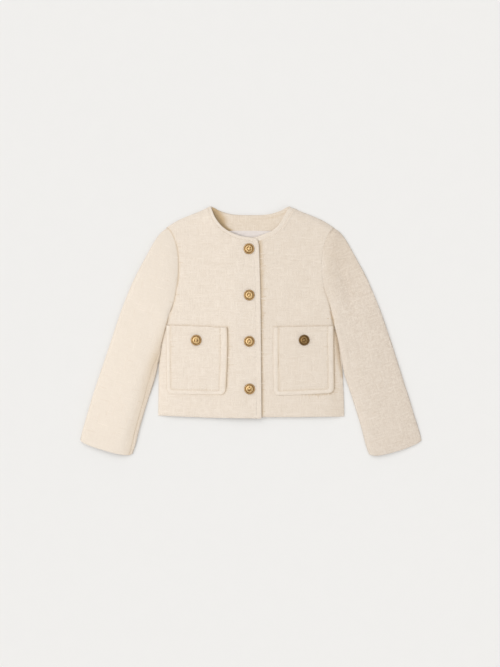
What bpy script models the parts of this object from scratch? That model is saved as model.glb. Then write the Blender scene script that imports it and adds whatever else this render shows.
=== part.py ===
"""Cropped collarless boucle jacket, buttoned up and laid flat on its back.

Run with: blender --background --python part.py

Metres, +Z up. The jacket rests on z = 0 with its neck towards +Y and its hem towards -Y.
It is drafted in millimetres as a tailor would: "out" is the distance from the centre line and
"drop" is the distance below the neck points. Right and left are the wearer's, and the wearer's
right side lies towards -X. Each cloth piece is one sheet, in layers that lie on each other.
"""

import math
from collections import namedtuple

import bmesh
import bpy
from mathutils import Vector

MM = 0.001
SHARP_ANGLE = math.radians(40)
RIGHT, LEFT = -1, 1
SIDE_NAMES = {RIGHT: "right", LEFT: "left"}

# Cloth, in millimetres
CLOTH = 3.0  # boucle with its interlining, as one wall
SEAM = 0.3  # gap between two pieces that are sewn together or lie on each other
EDGE_BAND = 3.4  # thickness of the folded strips along the edges
FACING = 1.5
LINING = 1.0

# How the layers lie
BODY_LOFT = 2.1  # air between back and fronts, away from the side seams and shoulders
SLEEVE_LOFT = 3.3  # air in the middle of a sleeve
EDGE_ROLL = 22.0  # width over which a front comes down to its side seam
LAP_RISE = EDGE_BAND + SEAM  # what the right front climbs to lie over the left one
LAP_EDGE = -20.0  # where the left front ends, past the centre line
LAP_RISE_START = 52.0  # the right front starts to climb here, out from the centre line
LAP_RISE_END = 39.0
CLIMB = CLOTH + SEAM + BODY_LOFT + CLOTH + SEAM  # from the floor up onto a front
CLIMB_SLOPE = 26.0
UNDER_CLIMB = (252.0, 278.0)  # drops between which the under sleeve leaves the floor
UPPER_CLIMB = (195.0, 247.0)  # and those between which the upper sleeve rises over the body
FOLD_LOFT = 1.2  # air between the two sleeve pieces at the fold
FULL_WIDTH = 140.0  # sleeve width that takes the whole loft

# Narrow self-cloth strips
NECK_BAND_WIDTH = 8.0
FRONT_BAND_WIDTH = 14.0
POCKET_BAND_WIDTH = 13.5
POCKET_BAND_FOOT = 10.5

# Grid steps
CURVE_STEPS = 12
SIDE_STEPS = 5
NECK_STEPS = 7
SLEEVE_STEPS = 8
STRIP_STEPS = 2
SHOULDER_STEPS = 4
FACING_STEPS = 8
POCKET_STEPS = 4
CORNER_STEPS = 4
# A front's columns as shares of its width: closer at the side seam and where it climbs the lap
FRONT_COLUMNS = (0.0, 0.055, 0.11, 0.25, 0.4, 0.57, 0.715, 0.745, 0.80, 0.9, 1.0)

Point = namedtuple("Point", "out drop")
Section = namedtuple("Section", "name inner_out inner_drop outer_out outer_drop")

# Each sleeve section runs from the armhole or inner fold to the outer fold.
SLEEVE_SECTIONS = (
    Section("shoulder point", 200.5, 50.0, 202.5, 50.8),
    Section("top of cap", 190.0, 62.0, 211.0, 56.5),
    Section("cap front notch", 181.0, 80.0, 221.5, 66.0),
    Section("upper chest", 175.0, 103.0, 233.0, 82.0),
    Section("narrowest chest", 172.0, 132.0, 246.0, 105.0),
    Section("chest", 172.5, 165.0, 259.0, 129.0),
    Section("lower chest", 177.0, 197.0, 274.5, 158.0),
    Section("armhole turn", 184.0, 225.0, 288.0, 186.0),
    Section("fold starts", 193.5, 253.0, 301.0, 217.0),
    Section("biceps", 201.0, 285.0, 313.0, 248.0),
    Section("above elbow", 210.0, 325.0, 325.0, 283.0),
    Section("elbow", 216.5, 365.0, 337.0, 320.0),
    Section("below elbow", 226.0, 405.0, 350.0, 359.0),
    Section("forearm", 239.0, 444.0, 364.5, 402.0),
    Section("mid forearm", 253.0, 487.0, 381.0, 452.0),
    Section("low forearm", 266.5, 532.0, 395.0, 500.0),
    Section("above cuff", 276.5, 572.0, 407.0, 543.0),
    Section("cuff", 286.0, 600.5, 412.0, 567.0),
)
FOLD_START = 8  # the section where the sleeve leaves the armhole seam and folds over the body
CROSS_END = 11  # the section where the under sleeve has reached the fold

UNDERARM = (Point(201.5, 264.5), Point(210.0, 272.5), Point(221.0, 277.0))
# The under sleeve's edge from the underarm up over the body's side
UNDER_CROSSING = (Point(222.2, 279.0), Point(213.0, 322.0))
SIDE_SEAM = (Point(221.5, 503.5), Point(220.5, 450.0), Point(220.0, 390.0), Point(221.0, 277.0))
SHOULDER = (Point(172.0, 31.8), Point(145.0, 20.2), Point(120.0, 10.4))
FRONT_NECK = (
    Point(94.0, 0.0),
    Point(91.0, 14.0),
    Point(84.5, 28.5),
    Point(68.0, 47.5),
    Point(48.0, 61.0),
    Point(24.0, 70.5),
    Point(0.0, 74.5),
)
BACK_NECK = (Point(94.0, 0.0), Point(72.0, 11.0), Point(42.0, 19.5), Point(0.0, 21.5))
NECK_ENDS = {RIGHT: Point(-19.0, 77.0), LEFT: Point(LAP_EDGE, 77.0)}
FRONT_EDGE = (Point(-27.4, 508.0), Point(-26.0, 330.0), Point(-24.6, 180.0), Point(-20.4, 86.0))
HEM_CENTRE = 508.0
HEM_MIDWAY = Point(110.0, 506.5)

FACING_TOP_HALF = 78.0
FACING_TOP_END = Point(FACING_TOP_HALF, 9.5)
FACING_FOOT = 58.0
FACING_FOOT_HALF = 86.0
LINING_FOOT = 100.0
LINING_FOOT_HALF = 96.0

# Patch pocket, from its edge by the front opening to its edge by the side seam
POCKET_NEAR, POCKET_FAR = 54.0, 201.0
POCKET_TOP, POCKET_FOOT = 289.0, 452.0
POCKET_CORNER = 11.0
POCKET_PANEL_CORNER = 4.0

# Cast shank buttons
BUTTON_RADIUS = 12.7
BUTTON_STEPS = 24
SHANK = 1.5
MERGE_DISTANCE = 0.00001  # metres
BUTTON_PROFILE = (  # radius, height above the button's rim
    (0.0, 6.0),
    (4.5, 5.7),
    (8.4, 4.7),
    (10.6, 3.3),
    (11.6, 3.4),
    (BUTTON_RADIUS, 2.3),
    (BUTTON_RADIUS, 1.0),
    (11.4, 0.0),
    (3.2, 0.0),
    (3.2, -SHANK),
    (0.0, -SHANK),
)
FRONT_BUTTONS = (Point(3.0, 102.0), Point(2.4, 213.0), Point(2.2, 324.0), Point(1.4, 438.0))
POCKET_BUTTON = Point(129.4, 321.0)

NECK_Y = SLEEVE_SECTIONS[-1].inner_drop / 2  # the neck points' y, which centres the jacket

BOUCLE = {"colour": (0.84, 0.78, 0.68), "roughness": 0.95, "metallic": 0.0}
SATIN = {"colour": (0.80, 0.78, 0.79), "roughness": 0.45, "metallic": 0.0}
BRASS = {"colour": (0.52, 0.36, 0.15), "roughness": 0.35, "metallic": 1.0}


# ---------------------------------------------------------------- lines in plan


def plan(side, point):
    """A drafted point as x and y, in millimetres."""
    return Vector((side * point[0], NECK_Y - point[1]))


def lines(side, points):
    return [plan(side, point) for point in points]


def even(steps):
    """Shares of a length at equal steps."""
    return [step / steps for step in range(steps + 1)]


def smooth_line(points, shares):
    """Points along a Catmull-Rom curve, at the given shares of its length."""
    padded = [2 * points[0] - points[1], *points, 2 * points[-1] - points[-2]]
    curve = []
    for before, start, end, after in zip(padded, padded[1:], padded[2:], padded[3:]):
        for step in range(CURVE_STEPS):
            t = step / CURVE_STEPS
            curve.append(
                0.5 * (2 * start + (end - before) * t)
                + 0.5 * (2 * before - 5 * start + 4 * end - after) * t**2
                + 0.5 * (3 * start - before - 3 * end + after) * t**3
            )
    curve.append(points[-1])
    lengths = [0.0]
    for start, end in zip(curve, curve[1:]):
        lengths.append(lengths[-1] + (end - start).length)
    chosen = []
    place = 0
    for share in shares:
        wanted = lengths[-1] * share
        while place < len(curve) - 2 and lengths[place + 1] < wanted:
            place += 1
        between = (wanted - lengths[place]) / (lengths[place + 1] - lengths[place])
        chosen.append(curve[place].lerp(curve[place + 1], min(between, 1.0)))
    return chosen


def beside(line, distance):
    """The line moved sideways, to the left of its direction when the distance is positive."""
    moved = []
    for index, point in enumerate(line):
        along = line[min(index + 1, len(line) - 1)] - line[max(index - 1, 0)]
        moved.append(point + Vector((-along.y, along.x)).normalized() * distance)
    return moved


def up_to(line, x):
    """The line as far as it crosses x, ending with a point there."""
    kept = [line[0]]
    for start, end in zip(line, line[1:]):
        if min(start.x, end.x) <= x <= max(start.x, end.x):
            return [*kept, start.lerp(end, (x - start.x) / (end.x - start.x))]
        kept.append(end)
    return kept


def distance_to(line, point):
    """Shortest distance from a point to a line of straight segments."""
    nearest = math.inf
    for start, end in zip(line, line[1:]):
        along = end - start
        share = max(0.0, min(1.0, (point - start).dot(along) / along.length_squared))
        nearest = min(nearest, (point - start - along * share).length)
    return nearest


def ease(share):
    share = max(0.0, min(1.0, share))
    return share * share * (3.0 - 2.0 * share)


# ---------------------------------------------------------------- grids in plan


def patch(foot, top, first, last, shares):
    """Rows of points between four edges: first and last run from foot to top (a Coons patch)."""
    rows = []
    for row, (start, end) in enumerate(zip(first, last)):
        v = row / (len(first) - 1)
        points = []
        for u, low, high in zip(shares, foot, top):
            corners = (foot[0] * (1 - u) + foot[-1] * u) * (1 - v) + (top[0] * (1 - u) + top[-1] * u) * v
            points.append(low * (1 - v) + high * v + start * (1 - u) + end * u - corners)
        rows.append(points)
    return rows


def strip(first, last, columns):
    """Rows of points straight across from one line to another with as many points."""
    return [
        [start.lerp(end, column / columns) for column in range(columns + 1)]
        for start, end in zip(first, last)
    ]


def straight_across(half, drop, columns):
    """Points straight across the body from left to right."""
    return strip([plan(LEFT, (half, drop))], [plan(RIGHT, (half, drop))], columns)[0]


# ---------------------------------------------------------------- solids


def finish(made, look, parts):
    """Gives an object its own material and puts it in the jacket's collection."""
    material = bpy.data.materials.new(made.name + "_finish")
    material.use_nodes = True
    shader = material.node_tree.nodes["Principled BSDF"]
    shader.inputs["Base Color"].default_value = (*look["colour"], 1.0)
    shader.inputs["Roughness"].default_value = look["roughness"]
    shader.inputs["Metallic"].default_value = look["metallic"]
    made.data.materials.append(material)
    parts.objects.link(made)


def sheet(name, grid, underside, thickness, look, parts):
    """A closed sheet over a plan grid: its underside at the given heights, and its top above it."""
    rows, columns = len(grid) - 1, len(grid[0]) - 1
    shape = bmesh.new()
    bmesh.ops.create_grid(shape, x_segments=columns, y_segments=rows, size=1.0)
    shape.verts.ensure_lookup_table()
    for index, vertex in enumerate(shape.verts):
        row, column = divmod(index, columns + 1)
        point = grid[row][column]
        vertex.co = Vector((point.x, point.y, underside(row, column, point))) * MM
    raised = bmesh.ops.extrude_face_region(shape, geom=shape.faces[:])["geom"]
    top = [item for item in raised if isinstance(item, bmesh.types.BMVert)]
    bmesh.ops.translate(shape, verts=top, vec=(0.0, 0.0, thickness * MM))
    bmesh.ops.recalc_face_normals(shape, faces=shape.faces[:])
    mesh = bpy.data.meshes.new(name)
    shape.to_mesh(mesh)
    shape.free()
    mesh.shade_smooth()
    mesh.set_sharp_from_angle(angle=SHARP_ANGLE)
    finish(bpy.data.objects.new(name, mesh), look, parts)


def level(height):
    """An underside that is flat at one height."""
    return lambda row, column, point: height


# ---------------------------------------------------------------- the body's lines


def armhole_line(side):
    """Armhole seam from the shoulder point down to the underarm."""
    seam = [(section.inner_out, section.inner_drop) for section in SLEEVE_SECTIONS[: FOLD_START + 1]]
    return lines(side, seam + list(UNDERARM))


def shoulder_line(side):
    tip = Point(SLEEVE_SECTIONS[0].inner_out, SLEEVE_SECTIONS[0].inner_drop)
    return lines(side, (tip, *SHOULDER, FRONT_NECK[0]))


def body_edge(side):
    """Side seam and armhole from the hem up to the shoulder point."""
    side_seam = smooth_line(lines(side, SIDE_SEAM), even(SIDE_STEPS))
    armhole = beside(armhole_line(side), -side * SEAM / 2)
    return side_seam[:-1] + armhole[::-1]


def front_underside(side, point):
    """Height of a front's underside: low at side seam and shoulder, up over the other front."""
    edge = min(
        distance_to(lines(side, SIDE_SEAM), point),
        distance_to(shoulder_line(side), point),
    )
    height = CLOTH + SEAM + BODY_LOFT * ease(edge / EDGE_ROLL)
    if side == RIGHT:
        height += LAP_RISE * ease((point.x + LAP_RISE_START) / (LAP_RISE_START - LAP_RISE_END))
    return height


def on_front(side):
    return lambda row, column, point: front_underside(side, point)


# ---------------------------------------------------------------- body


def make_back(parts):
    """The back and the band along its neck edge."""
    half = smooth_line(lines(LEFT, BACK_NECK), even(NECK_STEPS))
    neck = [*half, *[Vector((-point.x, point.y)) for point in half[-2::-1]]]
    inset = beside(neck, NECK_BAND_WIDTH)
    sheet("neck_band_back", strip(neck, inset, STRIP_STEPS), level(0.0), CLOTH, BOUCLE, parts)

    panel_neck = beside(inset, SEAM)
    left_shoulder = smooth_line([*shoulder_line(LEFT)[:-1], panel_neck[0]], even(SHOULDER_STEPS))
    right_shoulder = [Vector((-point.x, point.y)) for point in left_shoulder[::-1]]
    top = left_shoulder[:-1] + panel_neck + right_shoulder[1:]
    left_edge, right_edge = body_edge(LEFT), body_edge(RIGHT)
    columns = even(len(top) - 1)
    hem = smooth_line([left_edge[0], plan(LEFT, (0.0, HEM_CENTRE)), right_edge[0]], columns)
    grid = patch(hem, top, left_edge, right_edge, columns)
    sheet("back", grid, level(0.0), CLOTH, BOUCLE, parts)


def make_front(side, parts):
    """A front, its half of the neck band and, on the side that laps over, its front edge band."""
    name = SIDE_NAMES[side]
    neck = smooth_line(lines(side, (*FRONT_NECK, NECK_ENDS[side])), even(NECK_STEPS))
    inset = beside(neck, side * NECK_BAND_WIDTH)
    band = strip(neck, inset, STRIP_STEPS)
    sheet(f"neck_band_{name}", band, on_front(side), EDGE_BAND, BOUCLE, parts)

    outer = body_edge(side)
    panel_neck = beside(inset, side * SEAM)
    if side == RIGHT:
        opening, panel_neck = make_front_band(panel_neck, len(outer) - 1, parts)
    else:
        foot = plan(side, (LAP_EDGE, HEM_CENTRE))
        opening = smooth_line([foot, panel_neck[-1]], even(len(outer) - len(panel_neck)))
    inner = opening + panel_neck[-2::-1]
    shoulder = smooth_line([*shoulder_line(side)[:-1], inner[-1]], FRONT_COLUMNS)
    hem = smooth_line([outer[0], plan(side, HEM_MIDWAY), inner[0]], FRONT_COLUMNS)
    grid = patch(hem, shoulder, outer, inner, FRONT_COLUMNS)
    sheet(f"front_{name}", grid, on_front(side), CLOTH, BOUCLE, parts)


def make_front_band(panel_neck, rows, parts):
    """The strip down the right front's edge, below the neck band.

    Returns the line that the front is sewn to, and the neck line as far as that.
    """
    edge_points = lines(RIGHT, FRONT_EDGE)
    sewn_neck = up_to(panel_neck, edge_points[-1].x - FRONT_BAND_WIDTH - SEAM)
    edge = smooth_line(edge_points, even(rows - len(sewn_neck) + 1))
    inset = [Vector((point.x - FRONT_BAND_WIDTH, point.y)) for point in edge]
    edge[-1].y = panel_neck[-1].y - SEAM
    inset[-1].y = up_to(panel_neck, inset[-1].x)[-1].y
    sheet("front_band", strip(edge, inset, STRIP_STEPS), on_front(RIGHT), EDGE_BAND, BOUCLE, parts)
    opening = [Vector((point.x - SEAM, point.y)) for point in inset[:-1]]
    return [*opening, sewn_neck[-1]], sewn_neck


def make_facing_and_lining(parts):
    """The inside of the back neck: a self-cloth facing, and the lining as far as it shows."""
    inside_neck = [point for point in BACK_NECK if point.out < FACING_TOP_HALF]
    half = smooth_line(lines(LEFT, (FACING_TOP_END, *inside_neck)), even(FACING_STEPS // 2))
    top = [*half, *[Vector((-point.x, point.y)) for point in half[-2::-1]]]
    foot = straight_across(FACING_FOOT_HALF, FACING_FOOT, FACING_STEPS)
    on_back = level(CLOTH + SEAM)
    sheet("back_neck_facing", [foot, top], on_back, FACING, BOUCLE, parts)
    lining_top = [point - Vector((0.0, SEAM)) for point in foot]
    lining_foot = straight_across(LINING_FOOT_HALF, LINING_FOOT, FACING_STEPS)
    sheet("lining", [lining_foot, lining_top], on_back, LINING, SATIN, parts)


# ---------------------------------------------------------------- sleeves


def rise(drop, between):
    start, end = between
    return ease((drop - start) / (end - start))


def climb(side, point, between):
    """How far a sleeve piece is lifted where it lies over the body's side or comes off it."""
    past_body = side * point.x - SIDE_SEAM[-1].out
    return CLIMB * rise(NECK_Y - point.y, between) * ease(1.0 - past_body / CLIMB_SLOPE)


def make_sleeve(side, parts):
    """An under sleeve on the floor and over the body's side, and an upper sleeve on it."""
    name = SIDE_NAMES[side]
    inner = lines(side, [(section.inner_out, section.inner_drop) for section in SLEEVE_SECTIONS])
    outer = lines(side, [(section.outer_out, section.outer_drop) for section in SLEEVE_SECTIONS])
    under_inner = list(inner)
    under_inner[FOLD_START + 1 : CROSS_END] = lines(side, UNDER_CROSSING)

    def upper_underside(row, column, point):
        across = column / SLEEVE_STEPS
        seam_point = plan(LEFT, (SLEEVE_SECTIONS[row].inner_out, SLEEVE_SECTIONS[row].inner_drop))
        folded = rise(SLEEVE_SECTIONS[row].inner_drop, UPPER_CLIMB)
        seam_loft = front_underside(LEFT, seam_point) - CLOTH - SEAM
        inner_loft = seam_loft * (1.0 - folded) + FOLD_LOFT * folded
        width = min((outer[row] - inner[row]).length / FULL_WIDTH, 1.0)
        loft = inner_loft * (1.0 - across) ** 2 + SLEEVE_LOFT * width * math.sin(math.pi * across)
        return CLOTH + SEAM + loft + climb(side, point, UPPER_CLIMB)

    def under_underside(row, column, point):
        return climb(side, point, UNDER_CLIMB)

    for layer, edge, underside in (
        ("under", under_inner, under_underside),
        ("upper", inner, upper_underside),
    ):
        grid = strip(beside(edge, side * SEAM / 2), outer, SLEEVE_STEPS)
        sheet(f"{layer}_sleeve_{name}", grid, underside, CLOTH, BOUCLE, parts)


# ---------------------------------------------------------------- pockets


def pocket_rim(near, far, foot, radius):
    """Near edge, foot and far edge of a pocket with two round corners, as drafted points."""
    middle = (POCKET_TOP + foot) / 2
    rim = [Point(near, POCKET_TOP), Point(near, middle)]
    for centre_out, start in ((near + radius, 180), (far - radius, 90)):
        for step in range(CORNER_STEPS + 1):
            angle = math.radians(start - 90 * step / CORNER_STEPS)
            reach = radius * math.cos(angle)
            rim.append(Point(centre_out + reach, foot - radius + radius * math.sin(angle)))
    return [*rim, Point(far, middle), Point(far, POCKET_TOP)]


def make_pocket(side, parts):
    name = SIDE_NAMES[side]
    on_panel = level(CLOTH + SEAM + BODY_LOFT + CLOTH + SEAM)
    near = POCKET_NEAR + POCKET_BAND_WIDTH
    far = POCKET_FAR - POCKET_BAND_WIDTH
    foot = POCKET_FOOT - POCKET_BAND_FOOT
    outer_rim = pocket_rim(POCKET_NEAR, POCKET_FAR, POCKET_FOOT, POCKET_CORNER)
    inner_rim = pocket_rim(near, far, foot, POCKET_PANEL_CORNER)
    band = strip(lines(side, outer_rim), lines(side, inner_rim), STRIP_STEPS)
    sheet(f"pocket_band_{name}", band, on_panel, EDGE_BAND, BOUCLE, parts)

    edge = lines(side, pocket_rim(near + SEAM, far - SEAM, foot - SEAM, POCKET_PANEL_CORNER))
    half = len(edge) // 2
    panel = strip(edge[:half], edge[: half - 1 : -1], POCKET_STEPS)
    sheet(f"pocket_{name}", panel, on_panel, CLOTH, BOUCLE, parts)


# ---------------------------------------------------------------- buttons


def make_button(name, place, seat, parts):
    """A turned shank button whose shank stands just clear of the cloth at the seat height."""
    profile = bmesh.new()
    rim = [profile.verts.new((radius * MM, 0.0, height * MM)) for radius, height in BUTTON_PROFILE]
    for start, end in zip(rim, rim[1:]):
        profile.edges.new((start, end))
    mesh = bpy.data.meshes.new(name)
    profile.to_mesh(mesh)
    profile.free()
    button = bpy.data.objects.new(name, mesh)
    button.location = Vector((place.x, place.y, seat + SEAM + SHANK)) * MM
    turn = button.modifiers.new("turn", "SCREW")
    turn.steps = BUTTON_STEPS
    turn.render_steps = BUTTON_STEPS
    turn.use_merge_vertices = True
    turn.merge_threshold = MERGE_DISTANCE
    finish(button, BRASS, parts)


def make_buttons(parts):
    lap_top = CLOTH + SEAM + BODY_LOFT + LAP_RISE + CLOTH
    for number, place in enumerate(FRONT_BUTTONS, start=1):
        make_button(f"front_button_{number}", plan(RIGHT, place), lap_top, parts)
    pocket_top = 2 * (CLOTH + SEAM) + BODY_LOFT + CLOTH
    for side in (RIGHT, LEFT):
        make_button(f"pocket_button_{SIDE_NAMES[side]}", plan(side, POCKET_BUTTON), pocket_top, parts)


def main():
    for existing in list(bpy.data.objects):
        bpy.data.objects.remove(existing, do_unlink=True)
    parts = bpy.data.collections.new("boucle_jacket")
    bpy.context.scene.collection.children.link(parts)
    make_back(parts)
    make_facing_and_lining(parts)
    for side in (RIGHT, LEFT):
        make_front(side, parts)
        make_sleeve(side, parts)
        make_pocket(side, parts)
    make_buttons(parts)


main()
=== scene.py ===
# %% [markdown]
# # A cropped boucle jacket, laid flat and buttoned
# The jacket lies on its back on a pale table. Its fronts lie on its back, its sleeves lie beside it with
# their inner folds over the body, and everything is soft: no edge of thick boucle is sharp. The packed
# model fixes where each piece lies, so it is loaded first and nothing in it moves. Every cloth piece is
# then made from a few lines drafted in millimetres, as a thin shell that rolls at its edges, and the yarns
# are laid on last.

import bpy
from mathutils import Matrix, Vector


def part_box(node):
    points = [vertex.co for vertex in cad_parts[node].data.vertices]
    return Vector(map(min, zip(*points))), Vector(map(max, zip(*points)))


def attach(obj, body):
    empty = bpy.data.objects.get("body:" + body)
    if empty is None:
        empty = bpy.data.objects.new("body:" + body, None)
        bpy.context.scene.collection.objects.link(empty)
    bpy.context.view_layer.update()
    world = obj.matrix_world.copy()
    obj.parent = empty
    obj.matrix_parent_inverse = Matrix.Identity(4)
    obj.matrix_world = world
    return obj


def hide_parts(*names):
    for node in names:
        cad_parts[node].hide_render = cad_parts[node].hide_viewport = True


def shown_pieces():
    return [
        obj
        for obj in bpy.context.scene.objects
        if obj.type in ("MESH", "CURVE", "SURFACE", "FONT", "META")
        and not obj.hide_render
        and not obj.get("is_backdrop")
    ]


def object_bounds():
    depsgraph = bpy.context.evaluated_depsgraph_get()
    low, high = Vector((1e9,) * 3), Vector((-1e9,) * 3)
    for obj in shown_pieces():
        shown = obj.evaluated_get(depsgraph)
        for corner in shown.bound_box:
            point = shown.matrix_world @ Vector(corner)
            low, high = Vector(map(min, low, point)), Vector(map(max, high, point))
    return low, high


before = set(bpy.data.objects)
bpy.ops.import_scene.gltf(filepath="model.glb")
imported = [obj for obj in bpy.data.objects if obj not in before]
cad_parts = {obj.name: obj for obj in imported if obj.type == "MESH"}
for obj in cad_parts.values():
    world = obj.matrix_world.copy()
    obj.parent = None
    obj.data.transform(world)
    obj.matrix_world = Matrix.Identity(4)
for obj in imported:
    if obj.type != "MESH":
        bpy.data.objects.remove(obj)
cad_low, cad_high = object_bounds()
print("packed jacket:", [round(1000 * side, 1) for side in cad_high - cad_low], "mm")

# %% Modules and units
import math
from collections import namedtuple

import bpy
import numpy as np

MM = 0.001
RIGHT, LEFT = -1, 1
SIDE_NAMES = {RIGHT: "right", LEFT: "left"}
Section = namedtuple("Section", "name inner_out inner_drop outer_out outer_drop")

# %% [markdown]
# ## The pattern
# A tailor drafts from the neck points: "out" is the distance from the centre line and "drop" the distance
# below the neck. Both are in millimetres here. The same few lines bound every cloth piece, so neighbours
# meet exactly. The two sleeves are drafted as one, and then each is eased in or out a little, because no
# two lie alike. The curves could be Blender's Bezier curves; plain point tables with a smooth curve through
# them are easier to measure and to sew together in code.

# %% Drafted lines, in millimetres
NECK_Y = cad_high.y / MM  # the neck points' y

SLEEVE_SECTIONS = (
    Section("shoulder point", 200.5, 50.0, 202.5, 50.8),
    Section("top of cap", 190.0, 62.0, 211.0, 56.5),
    Section("cap front notch", 181.0, 80.0, 221.5, 66.0),
    Section("upper chest", 175.0, 103.0, 233.0, 82.0),
    Section("narrowest chest", 172.0, 132.0, 246.0, 105.0),
    Section("chest", 172.5, 165.0, 259.0, 129.0),
    Section("lower chest", 177.0, 197.0, 274.5, 158.0),
    Section("armhole turn", 184.0, 225.0, 288.0, 186.0),
    Section("fold starts", 193.5, 253.0, 301.0, 217.0),
    Section("biceps", 201.0, 285.0, 313.0, 248.0),
    Section("above elbow", 210.0, 325.0, 325.0, 283.0),
    Section("elbow", 216.5, 365.0, 337.0, 320.0),
    Section("below elbow", 226.0, 405.0, 350.0, 359.0),
    Section("forearm", 239.0, 444.0, 364.5, 402.0),
    Section("mid forearm", 253.0, 487.0, 381.0, 452.0),
    Section("low forearm", 266.5, 532.0, 395.0, 500.0),
    Section("above cuff", 276.5, 572.0, 407.0, 543.0),
    Section("cuff", 286.0, 600.5, 412.0, 567.0),
)
FOLD_START, FOLD_END = 8, 13  # the sections between which a sleeve's fold lies on the body
UNDERARM_CURVE = ((201.5, 264.5), (210.0, 272.5), (221.0, 277.0))
INNER_EASE = {  # how far each inner line lies outside its drafted one, by drop
    RIGHT: ((200, 0.0), (240, -3.0), (290, 0.0), (325, 1.2), (370, 1.0), (405, 0.0), (508, -2.4)),
    LEFT: ((190, 0.0), (229, 3.0), (265, 0.0), (310, 0.9), (355, 2.2), (400, 0.4)),
}
INNER_LINE, ARMHOLE = {}, {}


def eased(places, table):
    """A value between those a table gives, as pairs of place and value."""
    return np.interp(places, *np.transpose(table))


for side, moves in INNER_EASE.items():
    INNER_LINE[side] = [
        (place.inner_out + eased(place.inner_drop, moves), place.inner_drop) for place in SLEEVE_SECTIONS
    ]
    ARMHOLE[side] = [*INNER_LINE[side][: FOLD_START + 1], *UNDERARM_CURVE]
OUTER_LINE = [(place.outer_out, place.outer_drop) for place in SLEEVE_SECTIONS]
OUTER_EASE = {  # how far each outer fold has settled inside its drafted line, by drop
    RIGHT: ((60, 4.0), (120, 3.6), (300, 3.6), (480, 3.2), (567, 2.4)),
    LEFT: ((60, 2.2), (130, 1.6), (260, 0.5), (330, -0.6), (430, 1.6), (500, 1.0), (567, -1.4)),
}
SIDE_SEAM = {
    RIGHT: [(221.0, 502.2), (220.2, 450.0), (220.0, 390.0), (221.0, 277.0)],
    LEFT: [(226.0, 504.6), (224.6, 450.0), (222.0, 390.0), (221.0, 277.0)],
}
SHOULDER = [(200.5, 50.0), (172.0, 32.8), (145.0, 21.2), (120.0, 11.2), (107.0, 4.8), (97.0, 0.2)]
FRONT_NECK = {
    RIGHT: [(95, -0.6), (90, 13), (82.8, 28.5), (68, 47.5), (48, 61), (24, 70.5), (0, 74.5), (-17.5, 77.5)],
    LEFT: [
        (94.5, -0.4), (87.5, 11), (81, 22.5), (74, 35), (64.5, 48.5),
        (49.5, 59.5), (31, 67), (12, 73.5), (-20, 77),
    ],
}
BACK_NECK = [(94.0, -0.3), (86.5, 2.6), (72.0, 10.4), (42.0, 18.8), (0.0, 20.4)]
LAP_EDGE = [(-27.4, 509.4), (-26.0, 330.0), (-24.8, 220.0), (-22.8, 145.0), (-21.0, 96.0), (-18.0, 79.5)]
HEM = {RIGHT: [(110.0, 507.0), (-27.4, 509.4)], LEFT: [(110.0, 506.2), (-20.0, 506.2)]}
LEFT_EDGE = [HEM[LEFT][-1], (-20.0, 300.0), (-20.0, 120.0)]  # under the lap, as far as the neck
BACK_HEM_CENTRE = 505.0

NECK_BAND_WIDTH = {RIGHT: 8.0, LEFT: 12.0}
BACK_BAND_WIDTH = 8.0
FRONT_BAND_WIDTH = 14.0
BAND_TUCK = 2.5  # how much of a band the panel sewn to it covers
CLOTH = 2.2  # the boucle alone

# %% [markdown]
# ### Lines and surfaces from the pattern
# A Catmull-Rom curve goes through all of its points, which suits points measured on a garment. A panel
# between four such lines is a Coons patch: each inner point blends the four edges, so the grid bends as the
# outline does.

# %% Curves through drafted points


def plan(side, points):
    """Drafted points as x and y, in millimetres."""
    points = np.asarray(points, float)
    return np.stack([side * points[:, 0], NECK_Y - points[:, 1]], axis=1)


def drop_of(spots):
    """How far below the neck points each spot lies."""
    return NECK_Y - spots[..., 1]


def at_height(spots, height):
    """Flat spots with a height each."""
    return np.concatenate([spots, height[..., None]], axis=-1)


def mirrored(half):
    """A line drafted from the left side to the centre, carried on to the right side."""
    return np.vstack([half, (half * [-1, 1])[-2::-1]])


def curve_at(points, places):
    """The Catmull-Rom curve through points, at places counted in points from the first."""
    points = np.asarray(points, float)
    longer = np.vstack([2 * points[0] - points[1], points, 2 * points[-1] - points[-2]])
    first = np.clip(np.floor(places).astype(int), 0, len(points) - 2)
    t = (places - first)[:, None]
    before, start, end, after = (longer[first + step] for step in range(4))
    bend = (2 * before - 5 * start + 4 * end - after) * t**2
    return 0.5 * (2 * start + (end - before) * t + bend + (3 * start - before - 3 * end + after) * t**3)


def lengths_along(line):
    steps = np.linalg.norm(np.diff(line, axis=0), axis=1)
    return np.concatenate([[0.0], np.cumsum(steps)])


def places_at(points, shares):
    """Where on the curve through points each share of its length lies."""
    places = np.linspace(0, len(points) - 1, 40 * len(points))
    lengths = lengths_along(curve_at(points, places))
    return np.interp(np.asarray(shares) * lengths[-1], lengths, places)


def smooth_line(points, shares):
    return curve_at(points, places_at(points, shares))


def drawn(points, count):
    """The curve through points, as that many points."""
    return smooth_line(points, np.linspace(0, 1, count))


def resampled(line, shares):
    """Points of a line of straight segments, at shares of its length."""
    places = lengths_along(line)
    return np.stack([np.interp(shares * places[-1], places, line[:, axis]) for axis in (0, 1)], axis=1)


def length_of(points):
    return lengths_along(curve_at(points, np.linspace(0, len(points) - 1, 40 * len(points))))[-1]


def shares_for(length, step, edge=(1.3, 2.8, 4.6)):
    """Shares of a length: even steps inside, and closer ones at both ends, where cloth rolls over."""
    inside = np.linspace(edge[-1], length - edge[-1], max(2, round((length - 2 * edge[-1]) / step)))
    places = [0.0, *edge[:-1], *inside, *(length - np.array(edge[-2::-1])), length]
    return np.array(places) / length


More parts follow.
